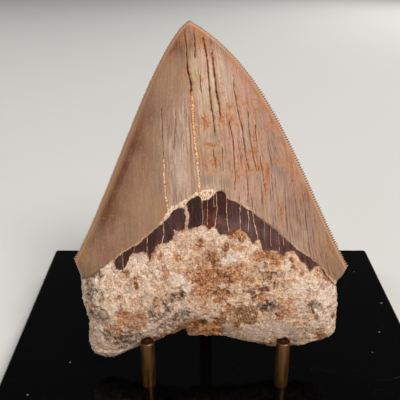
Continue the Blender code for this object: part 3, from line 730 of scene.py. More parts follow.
def tooth_relief(points, fields):
    """Height added to the smooth body: a rough pitted root, a sunk band and cracked enamel."""
    in_root = 1 - eased(-0.25, 0.25, fields["above_root"])
    in_crown = eased(-0.15, 0.15, fields["above_band"]) * (1 - in_root)
    in_band = (1 - in_root) - in_crown
    root, crumbs = root_relief(points, fields)
    fields["raised"] = in_root * fields["raised"]
    fields["hollow"] = in_root * fields["hollow"]
    plan = together(fields["grain"] * 0.55, fields["level"] * 0.03, points[..., 1] * 0.02)
    crown = 0.30 + 0.10 * rough_noise(plan, 3, 60, 0.6) + 0.10 * rough_noise(points * 0.12, 2, 65)
    for name, depth in (("open_crack", 0.30), ("filled_crack", 0.10)):
        crown = crown - depth * np.exp(-np.abs(fields[name] / 1.6) ** 2)
    band = -0.12 + 0.07 * rough_noise(plan * np.array([2.0, 3.0, 1.0]), 3, 70, 0.6)
    band = band + 0.16 * np.exp(-np.abs(fields["vein"]) ** 2)
    crust = np.exp(-np.abs(fields["crust"]) ** 4) * (0.12 + 0.9 * np.abs(crumbs))
    relief = in_root * root + in_crown * crown + in_band * band + (1 - in_root) * crust
    return relief * (1 - in_crown * (1 - eased(0.0, 3.0, fields["margin"])))


def surface_normals(points):
    """Normals of a grid (rows, columns, 3), from the cross product of its two slopes."""
    along = np.gradient(points, axis=1)
    up = np.gradient(points, axis=0)
    normal = np.cross(along, up)
    return normal / np.maximum(np.linalg.norm(normal, axis=-1, keepdims=True), 1e-9)


def tooth_face(side):
    """One face of the tooth as a grid of places in its own frame, with the fields on it.

    Place = (across, -side * depth, level), moved along its normal by the relief. The phase counts
    serrations up the crown.
    """
    plan = tooth_plan()
    across, level = plan[..., 0], plan[..., 1]
    margin = edge_margin(across, level)
    depth = body_depth(across, level, margin, side)
    points = together(across, -side * depth, level)
    fields = tooth_fields(across, level, margin, side)
    phase = np.concatenate([np.zeros(ROOT_ROWS), CROWN_MARKS / POINTS_PER_SERRATION])
    fields["phase"] = np.broadcast_to(phase[:, None], across.shape)
    relief = tooth_relief(points, fields)
    normals = surface_normals(points) * side
    return points + normals * relief[..., None], fields


def rim_loop():
    """Across and level of each rim point, with the serrations' phase and rise there.

    The rim runs along the underside, up the right side and cutting edge to the tip and down again.
    """
    edges = (UNDERSIDE[:-1], RIGHT_SIDE[:-1], RIGHT_EDGE[:-1], LEFT_EDGE[:0:-1], LEFT_SIDE[:0:-1])
    points = np.arange(FINE_EDGE)
    up = np.array(SERRATION_SHAPE)[points % POINTS_PER_SERRATION]
    phase = points / POINTS_PER_SERRATION
    before, after = np.zeros(COLUMNS + ROOT_ROWS), np.zeros(ROOT_ROWS)
    rise = np.concatenate([before, up, up[::-1], after])
    return np.vstack(edges), np.concatenate([before, phase, SERRATIONS - phase, after]), rise


def loop_outward(loop):
    """Unit vectors in the tooth's plane pointing out of the closed loop."""
    ahead = np.roll(loop, -2, axis=0) - np.roll(loop, 2, axis=0)
    outward = together(ahead[:, 1], -ahead[:, 0])
    return outward / np.linalg.norm(outward, axis=1, keepdims=True)


def grid_loop(rows, columns):
    """Rows and columns of a grid's border, and the rim point that each border point meets."""
    bottom_rim = COLUMNS + ROOT_ROWS
    tip = bottom_rim + FINE_EDGE
    marks = np.concatenate([np.arange(ROOT_ROWS + 1), ROOT_ROWS + CROWN_MARKS[1:]])
    total = COLUMNS + 2 * (ROOT_ROWS + FINE_EDGE)
    first, last = rows[0], rows[-1]
    near, far = columns[0], columns[-1]
    pieces = (
        (np.full(len(columns), first), columns, columns),
        (rows, np.full(len(rows), far), COLUMNS + marks[rows]),
        (np.full(len(columns), last), columns[::-1], np.full(len(columns), tip)),
        (rows[::-1], np.full(len(rows), near), total - marks[rows[::-1]]),
    )
    return tuple(np.concatenate([piece[k] for piece in pieces]) for k in range(3))


def stitch(inner, meets, rim_count):
    """Triangles between a coarse closed loop and the fine rim that it meets, numbered from 0.

    Each rim step joins the inner point nearest along the loop, and each inner step joins the rim
    point midway.
    """
    inner = np.append(inner, inner[0])
    meets = np.append(meets, meets[0] + rim_count)
    middle = (meets[1:] + meets[:-1]) // 2
    step = np.arange(meets[0], meets[0] + rim_count)
    apex = inner[np.searchsorted(middle, step, side="right")]
    outer = together(apex, step % rim_count, (step + 1) % rim_count)
    inward = together(inner[:-1], middle % rim_count, inner[1:])
    faces = np.vstack([outer, inward])
    return faces[np.all(faces != np.roll(faces, 1, axis=1), axis=1)]


def grid_quads(rows, columns):
    """Quads of a grid of rows by columns, numbered row by row."""
    start = (np.arange(rows - 1)[:, None] * columns + np.arange(columns - 1)[None]).ravel()
    return together(start, start + 1, start + columns + 1, start + columns)


TOOTH_VECTORS = {
    "plan": ("grain", "level", "side"),
    "borders": ("above_band", "above_root", "margin"),
    "crust_size": ("crust_width",),
    "cracks": ("open_crack", "filled_crack", "vein"),
    "nearness": ("open_crack_near", "filled_crack_near", "vein_near"),
    "serration": ("phase", "off", "flank"),
    "crown_stains": ("orange", "mauve", "grey"),
    "root_stains": ("rust", "ochre", "white"),
    "root_marks": ("dark", "olive", "grey_pink"),
    "relief": ("hollow", "deep", "crust"),
    "tone": ("red", "raised", "across"),
}


def to_row_frame(points):
    """The tooth's own frame turned back by the lean and sideways by the turn, then set in place."""
    peg_low, peg_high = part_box(PEG_NODES[0])
    reference = np.array([0.0, (peg_low.y + peg_high.y) / 2 + BEHIND_PEGS * MM, peg_high.z])
    lean = np.array([
        [1, 0, 0],
        [0, math.cos(LEAN), math.sin(LEAN)],
        [0, -math.sin(LEAN), math.cos(LEAN)],
    ])
    turn = np.array([
        [math.cos(TURN), -math.sin(TURN), 0],
        [math.sin(TURN), math.cos(TURN), 0],
        [0, 0, 1],
    ])
    return points * MM @ (turn @ lean).T + reference


def clear_of_pegs(places):
    """Moves each place that is too near a peg's axis, and below its top, straight out of it.

    A place at distance d from the axis goes to the distance max(d, reach), in the same direction.
    """
    for node in PEG_NODES:
        low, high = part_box(node)
        aside = places[:, :2] - np.array([(low.x + high.x) / 2, (low.y + high.y) / 2])
        distance = np.maximum(np.linalg.norm(aside, axis=1), 1e-6)
        reach = np.where(places[:, 2] < high.z + PEG_GAP * MM, (PEG_RADIUS + PEG_GAP) * MM, 0.0)
        grown = np.maximum(reach / distance, 1.0) - 1.0
        places[:, :2] += aside * grown[:, None]
    return places


def mesh_object(name, places, face_sets, smooth_angle):
    """A mesh object from an array of places and arrays of triangles and quads."""
    mesh = bpy.data.meshes.new(name)
    faces = [face for face_set in face_sets for face in face_set.tolist()]
    mesh.from_pydata(places.tolist(), [], faces)
    mesh.update()
    mesh.shade_smooth()
    mesh.set_sharp_from_angle(angle=smooth_angle)
    made = bpy.data.objects.new(name, mesh)
    bpy.context.scene.collection.objects.link(made)
    return made


def store_vectors(made, table, fields):
    """Writes up to three fields a name as a vector attribute on the mesh's points."""
    for name, parts in table.items():
        stacked = np.zeros((len(made.data.vertices), 3), dtype=np.float32)
        for axis, part in enumerate(parts):
            stacked[:, axis] = fields[part]
        layer = made.data.attributes.new(name, "FLOAT_VECTOR", "POINT")
        layer.data.foreach_set("vector", stacked.ravel())


def tooth_rim():
    """The rim's places and fields: the loop pushed outwards by the root's relief or a serration."""
    loop, phase, rise = rim_loop()
    across, level = loop[:, 0], loop[:, 1]
    flat = np.zeros(len(loop))
    points = together(across, flat, level)
    fields = tooth_fields(across, level, flat, 1)
    fields["phase"] = phase
    relief = tooth_relief(points, fields)
    in_root = 1 - eased(-0.25, 0.25, fields["above_root"])
    uneven = 0.75 + 0.5 * scrambled(np.round(points * 40), 90)
    worn = 0.35 + 0.65 * (1 - eased(80, 108, level))
    out = relief * in_root + SERRATION_HEIGHT * rise * uneven * worn * (1 - in_root)
    points[:, [0, 2]] += loop_outward(loop) * out[:, None]
    return points, fields


def make_tooth():
    """Front grid, back grid and one fine rim between them, stitched into a closed skin."""
    rim_points, rim_fields = tooth_rim()
    rim_count = len(rim_points)
    places, known, face_sets = [rim_points], [rim_fields], []
    start = rim_count
    for side, step in ((1, 1), (-1, BACK_STEP)):
        grid, fields = tooth_face(side)
        rows = np.arange(step, ROWS, step)
        columns = np.arange(step, COLUMNS, step)
        pick = np.ix_(rows, columns)
        places.append(grid[pick].reshape(-1, 3))
        known.append({name: field[pick].ravel() for name, field in fields.items()})
        border_rows, border_columns, meets = grid_loop(rows, columns)
        spot = (border_rows // step - 1) * len(columns) + border_columns // step - 1
        quads = start + grid_quads(len(rows), len(columns))
        strip = stitch(start + spot, meets, rim_count)
        face_sets.extend([quads[:, ::side], strip[:, ::side]])
        start += len(rows) * len(columns)
    placed = clear_of_pegs(to_row_frame(np.vstack(places)))
    made = mesh_object("tooth", placed, face_sets, SMOOTH_TOOTH)
    joined = {name: np.concatenate([fields[name] for fields in known]) for name in rim_fields}
    store_vectors(made, TOOTH_VECTORS, joined)
    return made


# ------------------------------------------------------------------ pegs


def rod_faces(rings):
    """Cap, sides and foot of a turned rod: its first point, its rings in turn and its last point."""
    turn = np.arange(PEG_TURNS)
    ahead = (turn + 1) % PEG_TURNS
    above = 1 + np.arange(rings - 1)[:, None] * PEG_TURNS
    below = above + PEG_TURNS
    sides = together(above + turn, below + turn, below + ahead, above + ahead)
    cap = together(0, 1 + turn, 1 + ahead)
    last = 1 + (rings - 1) * PEG_TURNS
    foot = together(last + PEG_TURNS, last + ahead, last + turn)
    return [cap, sides.reshape(-1, 4), foot]


def make_peg(node):
    """A turned rod: a profile of radius and height carried round the peg's axis.

    The end face is very slightly dished, with a small centre mark, and the chamfer is softened.
    """
    low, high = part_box(node)
    top, bottom = high.z / MM, low.z / MM
    heights = np.linspace(top - PEG_CHAMFER - 0.4, bottom + PEG_FOOT, PEG_RINGS)
    body = together(PEG_RADIUS, heights)
    end = np.array([(PEG_RADIUS - PEG_FOOT, bottom), (0.0, bottom)])
    profile = np.vstack([np.array(PEG_END) + np.array([0.0, top]), body, end])
    angles = np.linspace(0, 2 * math.pi, PEG_TURNS, endpoint=False)
    radius, height = profile[1:-1, :1], profile[1:-1, 1:]
    rings = together(radius * np.cos(angles), radius * np.sin(angles), height)
    dents = PEG_DENTS * rough_noise(rings * 0.8, 2, 110)
    rings[..., :2] *= (1 + dents / PEG_RADIUS)[..., None]
    ends = profile[[0, -1], 1]
    places = np.vstack([[(0, 0, ends[0])], rings.reshape(-1, 3), [(0, 0, ends[1])]])
    fields = {"below_top": top - places[:, 2], "radius": np.hypot(places[:, 0], places[:, 1])}
    places[:, :2] += np.array([(low.x + high.x) / 2, (low.y + high.y) / 2]) / MM
    made = mesh_object(node + "_rod", places * MM, rod_faces(len(rings)), SMOOTH_PEG)
    store_vectors(made, {"rod": ("below_top", "radius")}, fields)
    return made


# ------------------------------------------------------------------ node helpers


def paint(red, green, blue):
    """A colour given in screen values from 0 to 255, as the linear values that nodes use."""
    screen = np.array([red, green, blue]) / 255
    linear = np.where(screen <= 0.04045, screen / 12.92, ((screen + 0.055) / 1.055) ** 2.4)
    return (*linear.tolist(), 1.0)


class Value:
    """What a node puts out. Arithmetic on it adds the nodes that work the sum out."""

    def __init__(self, tree, socket):
        self.tree = tree
        self.socket = socket

    def __add__(self, other):
        return self.tree.maths("ADD", self, other)

    def __sub__(self, other):
        return self.tree.maths("SUBTRACT", self, other)

    def __rsub__(self, other):
        return self.tree.maths("SUBTRACT", other, self)

    def __mul__(self, other):
        return self.tree.maths("MULTIPLY", self, other)

    def __abs__(self):
        return self.tree.maths("ABSOLUTE", self)

    def most(self, other):
        """The larger of two values."""
        return self.tree.maths("MAXIMUM", self, other)

    def wave(self):
        """A sine wave, one to each whole number."""
        return self.tree.maths("SINE", self * (2 * math.pi))

    def rise(self, low, high, start=0.0, end=1.0, kind="SMOOTHSTEP"):
        """A smooth rise from start to end as the value goes from low to high."""
        inputs = {"Value": self, "From Min": low, "From Max": high, "To Min": start, "To Max": end}
        return self.tree.add("ShaderNodeMapRange", inputs, interpolation_type=kind)["Result"]

    def slope(self, low, high, start=0.0, end=1.0):
        """A straight rise from start to end as the value goes from low to high."""
        return self.rise(low, high, start, end, "LINEAR")


class Tree:
    """Adds nodes to a node tree. An input takes a Value, a number, a vector or a screen colour."""

    def __init__(self, tree):
        self.tree = tree

    def add(self, kind, inputs=(), **settings):
        """A new node with its inputs fed; gives its outputs by name, the first of each name."""
        node = self.tree.nodes.new(kind)
        for key, value in settings.items():
            setattr(node, key, value)
        for key, value in dict(inputs).items():
            self.feed(node.inputs[key], value)
        outputs = {}
        for socket in node.outputs:
            outputs.setdefault(socket.name, Value(self, socket))
        return outputs

    def feed(self, socket, value):
        """Links a Value to the socket, or sets the socket's own number, vector or colour."""
        if isinstance(value, Value):
            self.tree.links.new(value.socket, socket)
        elif socket.type == "RGBA":
            socket.default_value = paint(*value)
        else:
            socket.default_value = value

    def maths(self, operation, first, second=0.0, clamp=False):
        """Numbers put through one operation."""
        settings = {"operation": operation, "use_clamp": clamp}
        return self.add("ShaderNodeMath", {0: first, 1: second}, **settings)["Value"]

    def vectors(self, operation, first, second, result="Vector"):
        """Vectors put through one operation."""
        inputs = {0: first, 1: second}
        return self.add("ShaderNodeVectorMath", inputs, operation=operation)[result]

    def ramp(self, share, stops):
        """Colours along a line from -1 to 1; each stop is a place and a screen colour."""
        node = self.tree.nodes.new("ShaderNodeValToRGB")
        self.feed(node.inputs["Fac"], share)
        elements = node.color_ramp.elements
        while len(elements) < len(stops):
            elements.new(1.0)
        for element, (place, colour) in zip(elements, stops):
            element.position = (place + 1) / 2
            element.color = paint(*colour)
        return Value(self, node.outputs["Color"])

    def mix(self, data_type, sockets, values, blend_type="MIX"):
        """A Mix node; sockets are the places of its share, its two inputs and its result."""
        node = self.tree.nodes.new("ShaderNodeMix")
        node.data_type = data_type
        node.blend_type = blend_type
        for place, value in zip(sockets, values):
            self.feed(node.inputs[place], value)
        return Value(self, node.outputs[sockets[-1]])

    def blend(self, share, first, second, blend_type="MIX"):
        """Colours mixed by share."""
        return self.mix("RGBA", (0, 6, 7, 2), (share, first, second), blend_type)

    def between(self, share, first, second):
        """Numbers mixed by share."""
        return self.mix("FLOAT", (0, 2, 3, 0), (share, first, second))

    def coats(self, colour, *layers):
        """Lays coats over a colour in turn; each layer is a mask, its strength and a colour."""
        for mask, strength, tint in layers:
            share = mask if strength == 1 else mask * strength
            colour = self.blend(share, colour, tint)
        return colour

    def attribute(self, name):
        """A vector attribute and its three parts."""
        vector = self.add("ShaderNodeAttribute", attribute_name=name)["Vector"]
        return vector, list(self.add("ShaderNodeSeparateXYZ", {"Vector": vector}).values())

    def stretched(self, vector, scale, shift=(0, 0, 0)):
        """A vector scaled along each axis, then shifted."""
        inputs = {"Vector": vector, "Scale": scale, "Location": shift}
        return self.add("ShaderNodeMapping", inputs)["Vector"]

    def noise(self, vector, scale, detail=3.0, roughness=0.55, distortion=0.0, result="Fac"):
        """Noise around 0.5, with scale waves to each unit of the vector."""
        inputs = {
            "Vector": vector, "Scale": scale, "Detail": detail, "Roughness": roughness,
            "Distortion": distortion,
        }
        return self.add("ShaderNodeTexNoise", inputs)[result]

    def cells(self, vector, scale):
        """Distance to the nearest of scattered points, and three random numbers for its cell."""
        found = self.add("ShaderNodeTexVoronoi", {"Vector": vector, "Scale": scale})
        tones = self.add("ShaderNodeSeparateColor", {"Color": found["Color"]})
        return found["Distance"], list(tones.values())

    def mask(self, name, vector, *numbers):
        """The mask of a shared group, fed with a vector and the group's numbers in their order."""
        node = self.tree.nodes.new("ShaderNodeGroup")
        node.node_tree = GROUPS[name]
        for socket, value in zip(node.inputs, (vector, *numbers)):
            self.feed(socket, value)
        return Value(self, node.outputs["Mask"])


def mottle(tree, given):
    """Soft cloudy variation: noise whose rise from 0 to 1 lies between Low and High."""
    return tree.noise(given["Vector"], given["Scale"], 4.0, 0.6).rise(given["Low"], given["High"])


def specks(tree, given):
    """Scattered dots: a random share of the cells of a cell pattern holds one round dot."""
    distance, tones = tree.cells(given["Vector"], given["Scale"])
    size = given["Size"] * tones[1]
    dot = distance.rise(size, size + 0.06, 1.0, 0.0)
    return dot * tree.maths("LESS_THAN", tones[0], given["Share"])


def streaks(tree, given):
    """Fine lines along the second coordinate: noise squeezed across and drawn out along."""
    long = tree.stretched(given["Vector"], (1.0, 0.05, 0.4))
    return tree.noise(long, given["Pitch"], 3.0, 0.6, 0.3).rise(given["Low"], given["High"])


def mask_group(effect, **numbers):
    """A shader node group: a Vector and the named numbers go in, the effect's Mask comes out."""
    group = bpy.data.node_groups.new(effect.__name__, "ShaderNodeTree")
    group.interface.new_socket("Vector", in_out="INPUT", socket_type="NodeSocketVector")
    for name, value in numbers.items():
        socket = group.interface.new_socket(name, in_out="INPUT", socket_type="NodeSocketFloat")
        socket.default_value = value
    group.interface.new_socket("Mask", in_out="OUTPUT", socket_type="NodeSocketFloat")
    tree = Tree(group)
    given = tree.add("NodeGroupInput")
    sink = group.nodes.new("NodeGroupOutput")
    tree.feed(sink.inputs["Mask"], effect(tree, given))
    return group


GROUPS = {
    "mottle": mask_group(mottle, Scale=1.0, Low=0.35, High=0.65),
    "specks": mask_group(specks, Scale=1.0, Share=0.3, Size=0.25),
    "streaks": mask_group(streaks, Pitch=1.0, Low=0.4, High=0.6),
}


def new_material(name):
    """A material with a Principled shader; returns it, its tree and the shader's inputs."""
    material = bpy.data.materials.new(name)
    material.use_nodes = True
    shader = material.node_tree.nodes["Principled BSDF"]
    return material, Tree(material.node_tree), shader.inputs


def object_millimetres(tree):
    """Object coordinates counted in millimetres."""
    return tree.stretched(tree.add("ShaderNodeTexCoord")["Object"], (1000, 1000, 1000))


def feed_shader(tree, shader, colour, roughness, height, distance, strength):
    """Links the colour, the roughness and a bump from the height."""
    bump = {"Height": height, "Distance": distance, "Strength": strength}
    tree.feed(shader["Base Color"], colour)
    tree.feed(shader["Roughness"], roughness)
    tree.feed(shader["Normal"], tree.add("ShaderNodeBump", bump)["Normal"])


# ------------------------------------------------------------------ tooth material

# Enamel colours from the left cutting edge (-1) to the right one (1)
ENAMEL_ACROSS = (
    (-1.00, (142, 100, 68)), (-0.93, (128, 88, 60)), (-0.84, (138, 101, 74)), (-0.74, (148, 113, 86)),
    (-0.45, (143, 112, 83)), (-0.20, (155, 122, 97)), (0.05, (170, 138, 116)), (0.35, (166, 134, 113)),
    (0.62, (161, 128, 112)), (0.84, (152, 119, 103)), (0.93, (160, 116, 86)), (1.00, (180, 140, 108)),
)


def line_mask(parts, name, inner, outer):
    """1 on a crack or vein, 0 off it; the unsigned distance hides where two lines' sides meet."""
    near = parts[name + "_near"].rise(3.0, 4.5, 1.0, 0.0)
    return abs(parts[name]).rise(inner, outer, 1.0, 0.0) * near


def enamel_zones(tree, parts, cloud, low_right):
    """The enamel's broad colours: from one cutting edge to the other, then zone by zone."""
    across, level, off = parts["across"], parts["level"], parts["off"]
    flank, margin = parts["flank"], parts["margin"]
    share = (off + (cloud - 0.5) * 0.10).slope(-1.0, 1.0)
    pale_strip = across.rise(-9.5, -7.5) * across.rise(5.0, 1.0) * level.rise(62.0, 84.0)
    return tree.coats(
        tree.ramp(share, ENAMEL_ACROSS),
        # the pale middle, and its palest strip beside the long crack
        (flank.rise(-5.0, 3.0) * flank.rise(26.0, 10.0), 0.70, (180, 155, 138)),
        (pale_strip, 0.60, (196, 169, 134)),
        # the warmer upper left, the greyer lower right and the right corner
        (level.rise(62.0, 92.0) * flank.rise(-1.0, -5.0), 0.70, (164, 127, 108)),
        (low_right, 0.65, (132, 110, 100)),
        (level.rise(36.0, 24.0) * off.rise(0.66, 0.86), 0.85, (122, 86, 58)),
        # the browned tip, and painted shade on the left shoulder and on the corner under it
        (level.rise(93.0, 102.0) * margin.rise(0.6, 1.8), 0.90, (90, 58, 34)),
        (level.rise(50.0, 32.0) * off.rise(-0.80, -0.94), 0.88, (96, 64, 42)),
        (level.rise(34.0, 26.0) * off.rise(-0.60, -0.74), 0.75, (98, 66, 46)),
    )


def enamel_clouds(tree, plan, parts, colour, patch):
    """Long soft clouds of brown, pink and olive drawn out along the grain."""
    right = parts["flank"].rise(-4.0, 6.0)
    tall = tree.stretched(plan, (1.0, 0.45, 1.0))
    moved = tree.stretched(tall, (1, 1, 1), (30, 10, 0))
    pink = tree.noise(tall, 0.13, 3.0, 0.5).rise(0.48, 0.62) * right.slope(0.0, 1.0, 0.22, 0.38)
    olive = tree.noise(moved, 0.15, 3.0, 0.5).rise(0.50, 0.64)
    broad = tree.mask("streaks", plan, 0.45, 0.38, 0.62)
    return tree.coats(
        colour,
        (broad, 0.16, tree.blend(right, (134, 100, 76), (192, 146, 124))),
        (patch, 0.25, (152, 110, 86)),
        (pink, 1, (188, 136, 119)),
        (olive, 0.40, (160, 130, 92)),
    )


def enamel_grain(tree, plan, parts, colour, cloud, low_right, lines, fine):
    """Dark and pale lines of the grain, strongest in the middle, and a painted highlight left of them.
    """
    across, level, off, flank = parts["across"], parts["level"], parts["off"], parts["flank"]
    depth = flank.rise(-4.0, 6.0).slope(0.0, 1.0, 0.10, 0.42) * cloud.rise(0.0, 1.0, 0.60, 1.0)
    depth = depth + flank.rise(-1.0, 2.0) * flank.rise(16.0, 10.0, 0.0, 0.5) * depth
    smooth = (level.rise(52.0, 66.0) * across.rise(13.0, 17.0)).most(off.rise(0.74, 0.90))
    depth = depth * smooth.slope(0.0, 1.0, 1.0, 0.35) * low_right.slope(0.0, 1.0, 1.0, 0.8)
    # A painted highlight: a soft pale grey-pink patch left of the grain lines
    painted_sheen = flank.rise(0.5, 4.0) * flank.rise(11.0, 6.0)
    painted_sheen = painted_sheen * level.rise(49.0, 56.0) * level.rise(72.0, 60.0, 0.0, 0.4)
    return tree.coats(
        colour,
        (painted_sheen, 1, (202, 178, 168)),
        (lines, depth, (122, 84, 62)),
        (fine, depth, (208, 180, 156)),
        (tree.mask("streaks", plan, 0.95, 0.54, 0.62), depth, (136, 94, 72)),
    )


def enamel_stains(tree, plan, parts, colour, patch, ragged):
    """Stains, fine hair cracks and a net of rusty threads; gives the colour and the hair mask.

    A stain's mask is its strength with noise added, cut off so that its border is ragged.
    """
    across, level, off = parts["across"], parts["level"], parts["off"]
    flank, margin = parts["flank"], parts["margin"]
    streak = margin.rise(1.6, 2.6) * margin.rise(5.6, 3.8) * off.rise(-0.4, -0.6)
    streak = streak * level.rise(84.0, 66.0, 0.0, 0.95) * level.rise(24.0, 44.0)
    mauve = (parts["mauve"] * 0.60).most(streak) * patch.slope(0.0, 1.0, 0.65, 1.0)
    blots = tree.noise(tree.stretched(plan, (1.5, 1.0, 1.0)), 0.9, 4.0, 0.7, 0.4)
    blots = (blots - 0.5) * 3.2 + ragged * 0.9
    zone = (across.rise(-4.0, 10.0) * level.rise(92.0, 66.0)).slope(0.0, 1.0, 0.20, 0.70)
    zone = zone * flank.rise(-8.0, -1.0, 0.40, 1.0)
    long_hair = tree.noise(tree.stretched(plan, (2.4, 0.09, 0.4)), 1.0, 3.0, 0.6)
    short_hair = tree.noise(tree.stretched(plan, (3.8, 0.24, 0.4), (5, 3, 0)), 1.0, 3.0, 0.6)
    hair = long_hair.rise(0.59, 0.64).most(short_hair.rise(0.62, 0.67)) * zone
    curl = tree.noise(tree.stretched(plan, (0.50, 0.36, 1.0)), 1.0, 3.0, 0.6, 1.2)
    curl = abs(curl - 0.5).rise(0.008, 0.034, 1.0, 0.0)
    threads = curl * parts["orange"].most(parts["red"]).rise(0.10, 0.42, 0.0, 0.70)
    colour = tree.coats(
        colour,
        (mauve, 1, (100, 60, 41)),
        ((parts["grey"] + ragged * 0.5).rise(0.2, 0.9), 0.6, (130, 112, 100)),
        ((parts["red"] + blots).rise(0.12, 0.90), 0.50, (192, 128, 100)),
        ((parts["orange"] + blots).rise(0.24, 0.90), 0.68, (188, 128, 72)),
        ((parts["orange"] + blots).rise(0.70, 1.20), 0.80, (144, 84, 38)),
        (hair, 1, (88, 56, 38)),
        (threads * blots.rise(-0.5, 0.2), 1, (158, 82, 50)),
    )
    return colour, hair


def enamel_cracks(tree, place, plan, parts, colour, ragged):
    """Crumb-filled and open cracks in rusty halos; gives the colour and both masks."""
    halo = parts["filled_crack_near"].rise(1.2, 5.0, 1.0, 0.0) * 0.7
    stained = parts["open_crack_near"].rise(1.0, 8.0, 0.75, 0.0)
    crumble = tree.noise(place, 2.2, 2.0)
    grains = tree.blend(parts["level"].rise(74.0, 58.0), (238, 200, 152), (238, 212, 182))
    filling = line_mask(parts, "filled_crack", 0.9, 1.7)
    gap = tree.noise(tree.stretched(plan, (1.5, 0.5, 1.0)), 1.0, 3.0).rise(0.38, 0.52, 0.30, 1.0)
    dark = line_mask(parts, "open_crack", 0.7, 1.7) * gap
    colour = tree.coats(
        colour,
        ((halo + ragged).rise(0.40, 0.62), 0.7, (176, 108, 54)),
        (filling, 1, tree.blend(crumble.rise(0.42, 0.54), (166, 100, 52), grains)),
        ((stained + ragged).rise(0.40, 0.62), 0.55, (156, 98, 56)),
        (dark, 1, (94, 52, 28)),
        (line_mask(parts, "open_crack", 0.2, 0.8), gap, (52, 22, 8)),
    )
    return colour, dark, crumble * filling


def enamel_edge(tree, parts, colour):
    """Amber rim, painted highlight on the bevel, painted shade in the notches between serrations;
    gives the notches too.
    """
    off, margin = parts["off"], parts["margin"]
    # A pale bevel along the cutting edges, painted as a highlight
    edge_highlight = margin.rise(0.7, 1.4, 1.0, 0.0) * off.slope(-1.0, 1.0, 0.40, 0.55)
    notch = parts["phase"].wave() * margin.rise(0.1, 1.1, 1.0, 0.0)
    colour = tree.coats(
        colour,
        (margin.rise(2.6, 1.0, 0.0, 0.45), 1, (166, 108, 68)),
        (edge_highlight, 1, (200, 168, 140)),
        # painted shade in the notches between the serrations
        (tree.maths("MULTIPLY", notch, 0.7, clamp=True), 1, (92, 60, 42)),
    )
    return colour, notch


def enamel_finish(tree, place, plan, parts):
    """Colour, roughness and height of the tan enamel, with its cracks and stains."""
    cloud = tree.mask("mottle", place, 0.09, 0.35, 0.65)
    patch = tree.mask("mottle", place, 0.26, 0.42, 0.68)
    lines = tree.mask("streaks", plan, 1.7, 0.50, 0.62)
    fine = tree.mask("streaks", plan, 2.8, 0.42, 0.60)
    grit = tree.noise(place, 1.1, 3.0, 0.6) * 0.55 + tree.noise(place, 2.8, 2.0, 0.6) * 0.45
    ragged = (grit - 0.5) * 2.2 + (fine - 0.5) * 0.2
    low_right = parts["level"].rise(56.0, 26.0) * parts["off"].rise(0.2, 0.7)
    colour = enamel_zones(tree, parts, cloud, low_right)
    colour = enamel_clouds(tree, plan, parts, colour, patch)
    colour = enamel_grain(tree, plan, parts, colour, cloud, low_right, lines, fine)
    colour = tree.blend(1.0, colour, grit.slope(0.34, 0.66, 0.86, 1.12), "MULTIPLY")
    colour, hair = enamel_stains(tree, plan, parts, colour, patch, ragged)
    colour, dark, crumbs = enamel_cracks(tree, place, plan, parts, colour, ragged)
    colour, notch = enamel_edge(tree, parts, colour)
    roughness = tree.between(dark, tree.between(lines, 0.40, 0.54), 0.9)
    height = lines * -0.022 + fine * 0.014 + grit * 0.03
    height = height - dark * 0.16 - hair * 0.06 - notch * 0.12 + crumbs * 0.3
    return colour, roughness, height


def band_finish(tree, place, plan, parts):
    """Colour, roughness and height of the dark band below the enamel, with its pale veins."""
    across, above_root = parts["across"], parts["above_root"]
    lines = tree.mask("streaks", plan, 2.0, 0.38, 0.62)
    cloud = tree.mask("mottle", place, 0.35, 0.38, 0.62)
    fine = tree.mask("mottle", place, 1.6, 0.42, 0.62)
    mauve = tree.blend(lines, (62, 35, 33), (94, 64, 61))
    mauve = tree.blend(cloud * 0.35, mauve, (74, 34, 24))
    red = abs(across - 0.3).rise(3.8, 5.6, 1.0, 0.0) * cloud.slope(0, 1, 0.70, 1)
    vein = line_mask(parts, "vein", 0.7, 1.6) * tree.noise(place, 0.9, 3.0).rise(0.34, 0.48, 0.40, 1.0)
    colour = tree.coats(
        tree.blend(lines, (33, 9, 6), (58, 25, 19)),
        # mauve brown at both sides, a red glow in the middle, and darker towards the left
        (across.rise(3.6, 5.0).most(across.rise(-10.6, -11.4)), 0.9, mauve),
        (red, 1, tree.blend(above_root.rise(7.0, 1.0) * cloud, (54, 8, 0), (98, 40, 16))),
        (across.rise(-11.4, -15.0) * cloud.rise(0.9, 0.2, 0.35, 1.0), 0.6, (46, 26, 24)),
        # dust, crumbs along the foot, and the veins
        (fine, 0.09, (116, 84, 70)),
        (above_root.rise(0.0, 1.2, 0.55, 0.0), fine, (136, 80, 44)),
        (vein, 0.95, tree.blend(fine, (214, 180, 154), (184, 132, 100))),
    )
    roughness = tree.between(vein, tree.between(lines, 0.34, 0.46), 0.8)
    return colour, roughness, lines * 0.04 + vein * 0.10 + fine * 0.04


# Root patches: name, strength, the two colours that its grains are drawn from
ROOT_TINTS = (
    ("white", 0.82, (212, 190, 170), (244, 226, 208)),
    ("grey_pink", 0.80, (182, 152, 140), (216, 190, 174)),
    ("rust", 0.90, (126, 58, 28), (246, 178, 122)),
    ("ochre", 0.88, (150, 90, 54), (216, 160, 112)),
    ("dark", 0.92, (78, 60, 44), (216, 194, 172)),
)


def root_ground(tree, place, parts):
    """The root's cream ground: paler at both ends, golden in the middle, with painted shade in its
    dips.
    """
    across, level = parts["across"], parts["level"]
    broad = tree.mask("mottle", place, 0.07, 0.38, 0.62)
    medium = tree.mask("mottle", place, 0.30, 0.40, 0.60)
    golden = tree.noise(place, 0.16, 3.0, 0.6).rise(0.44, 0.60) * across.rise(-12.0, -4.0)
    golden = golden * level.rise(31.0, 26.0) * across.rise(34.0, 26.0, 0.25, 1.0)
    return tree.coats(
        tree.blend(broad, (230, 197, 171), (224, 188, 153)),
        (medium, 0.5, (238, 212, 190)),
        (across.rise(-18.0, -34.0), 0.35, (248, 228, 208)),
        (across.rise(27.0, 38.0), 0.45, (250, 232, 216)),
        # painted shade in the dips between the raised crumbs
        (parts["raised"].rise(0.05, -0.35), 0.36, (184, 130, 88)),
        (golden, 0.42, (210, 162, 112)),
    )


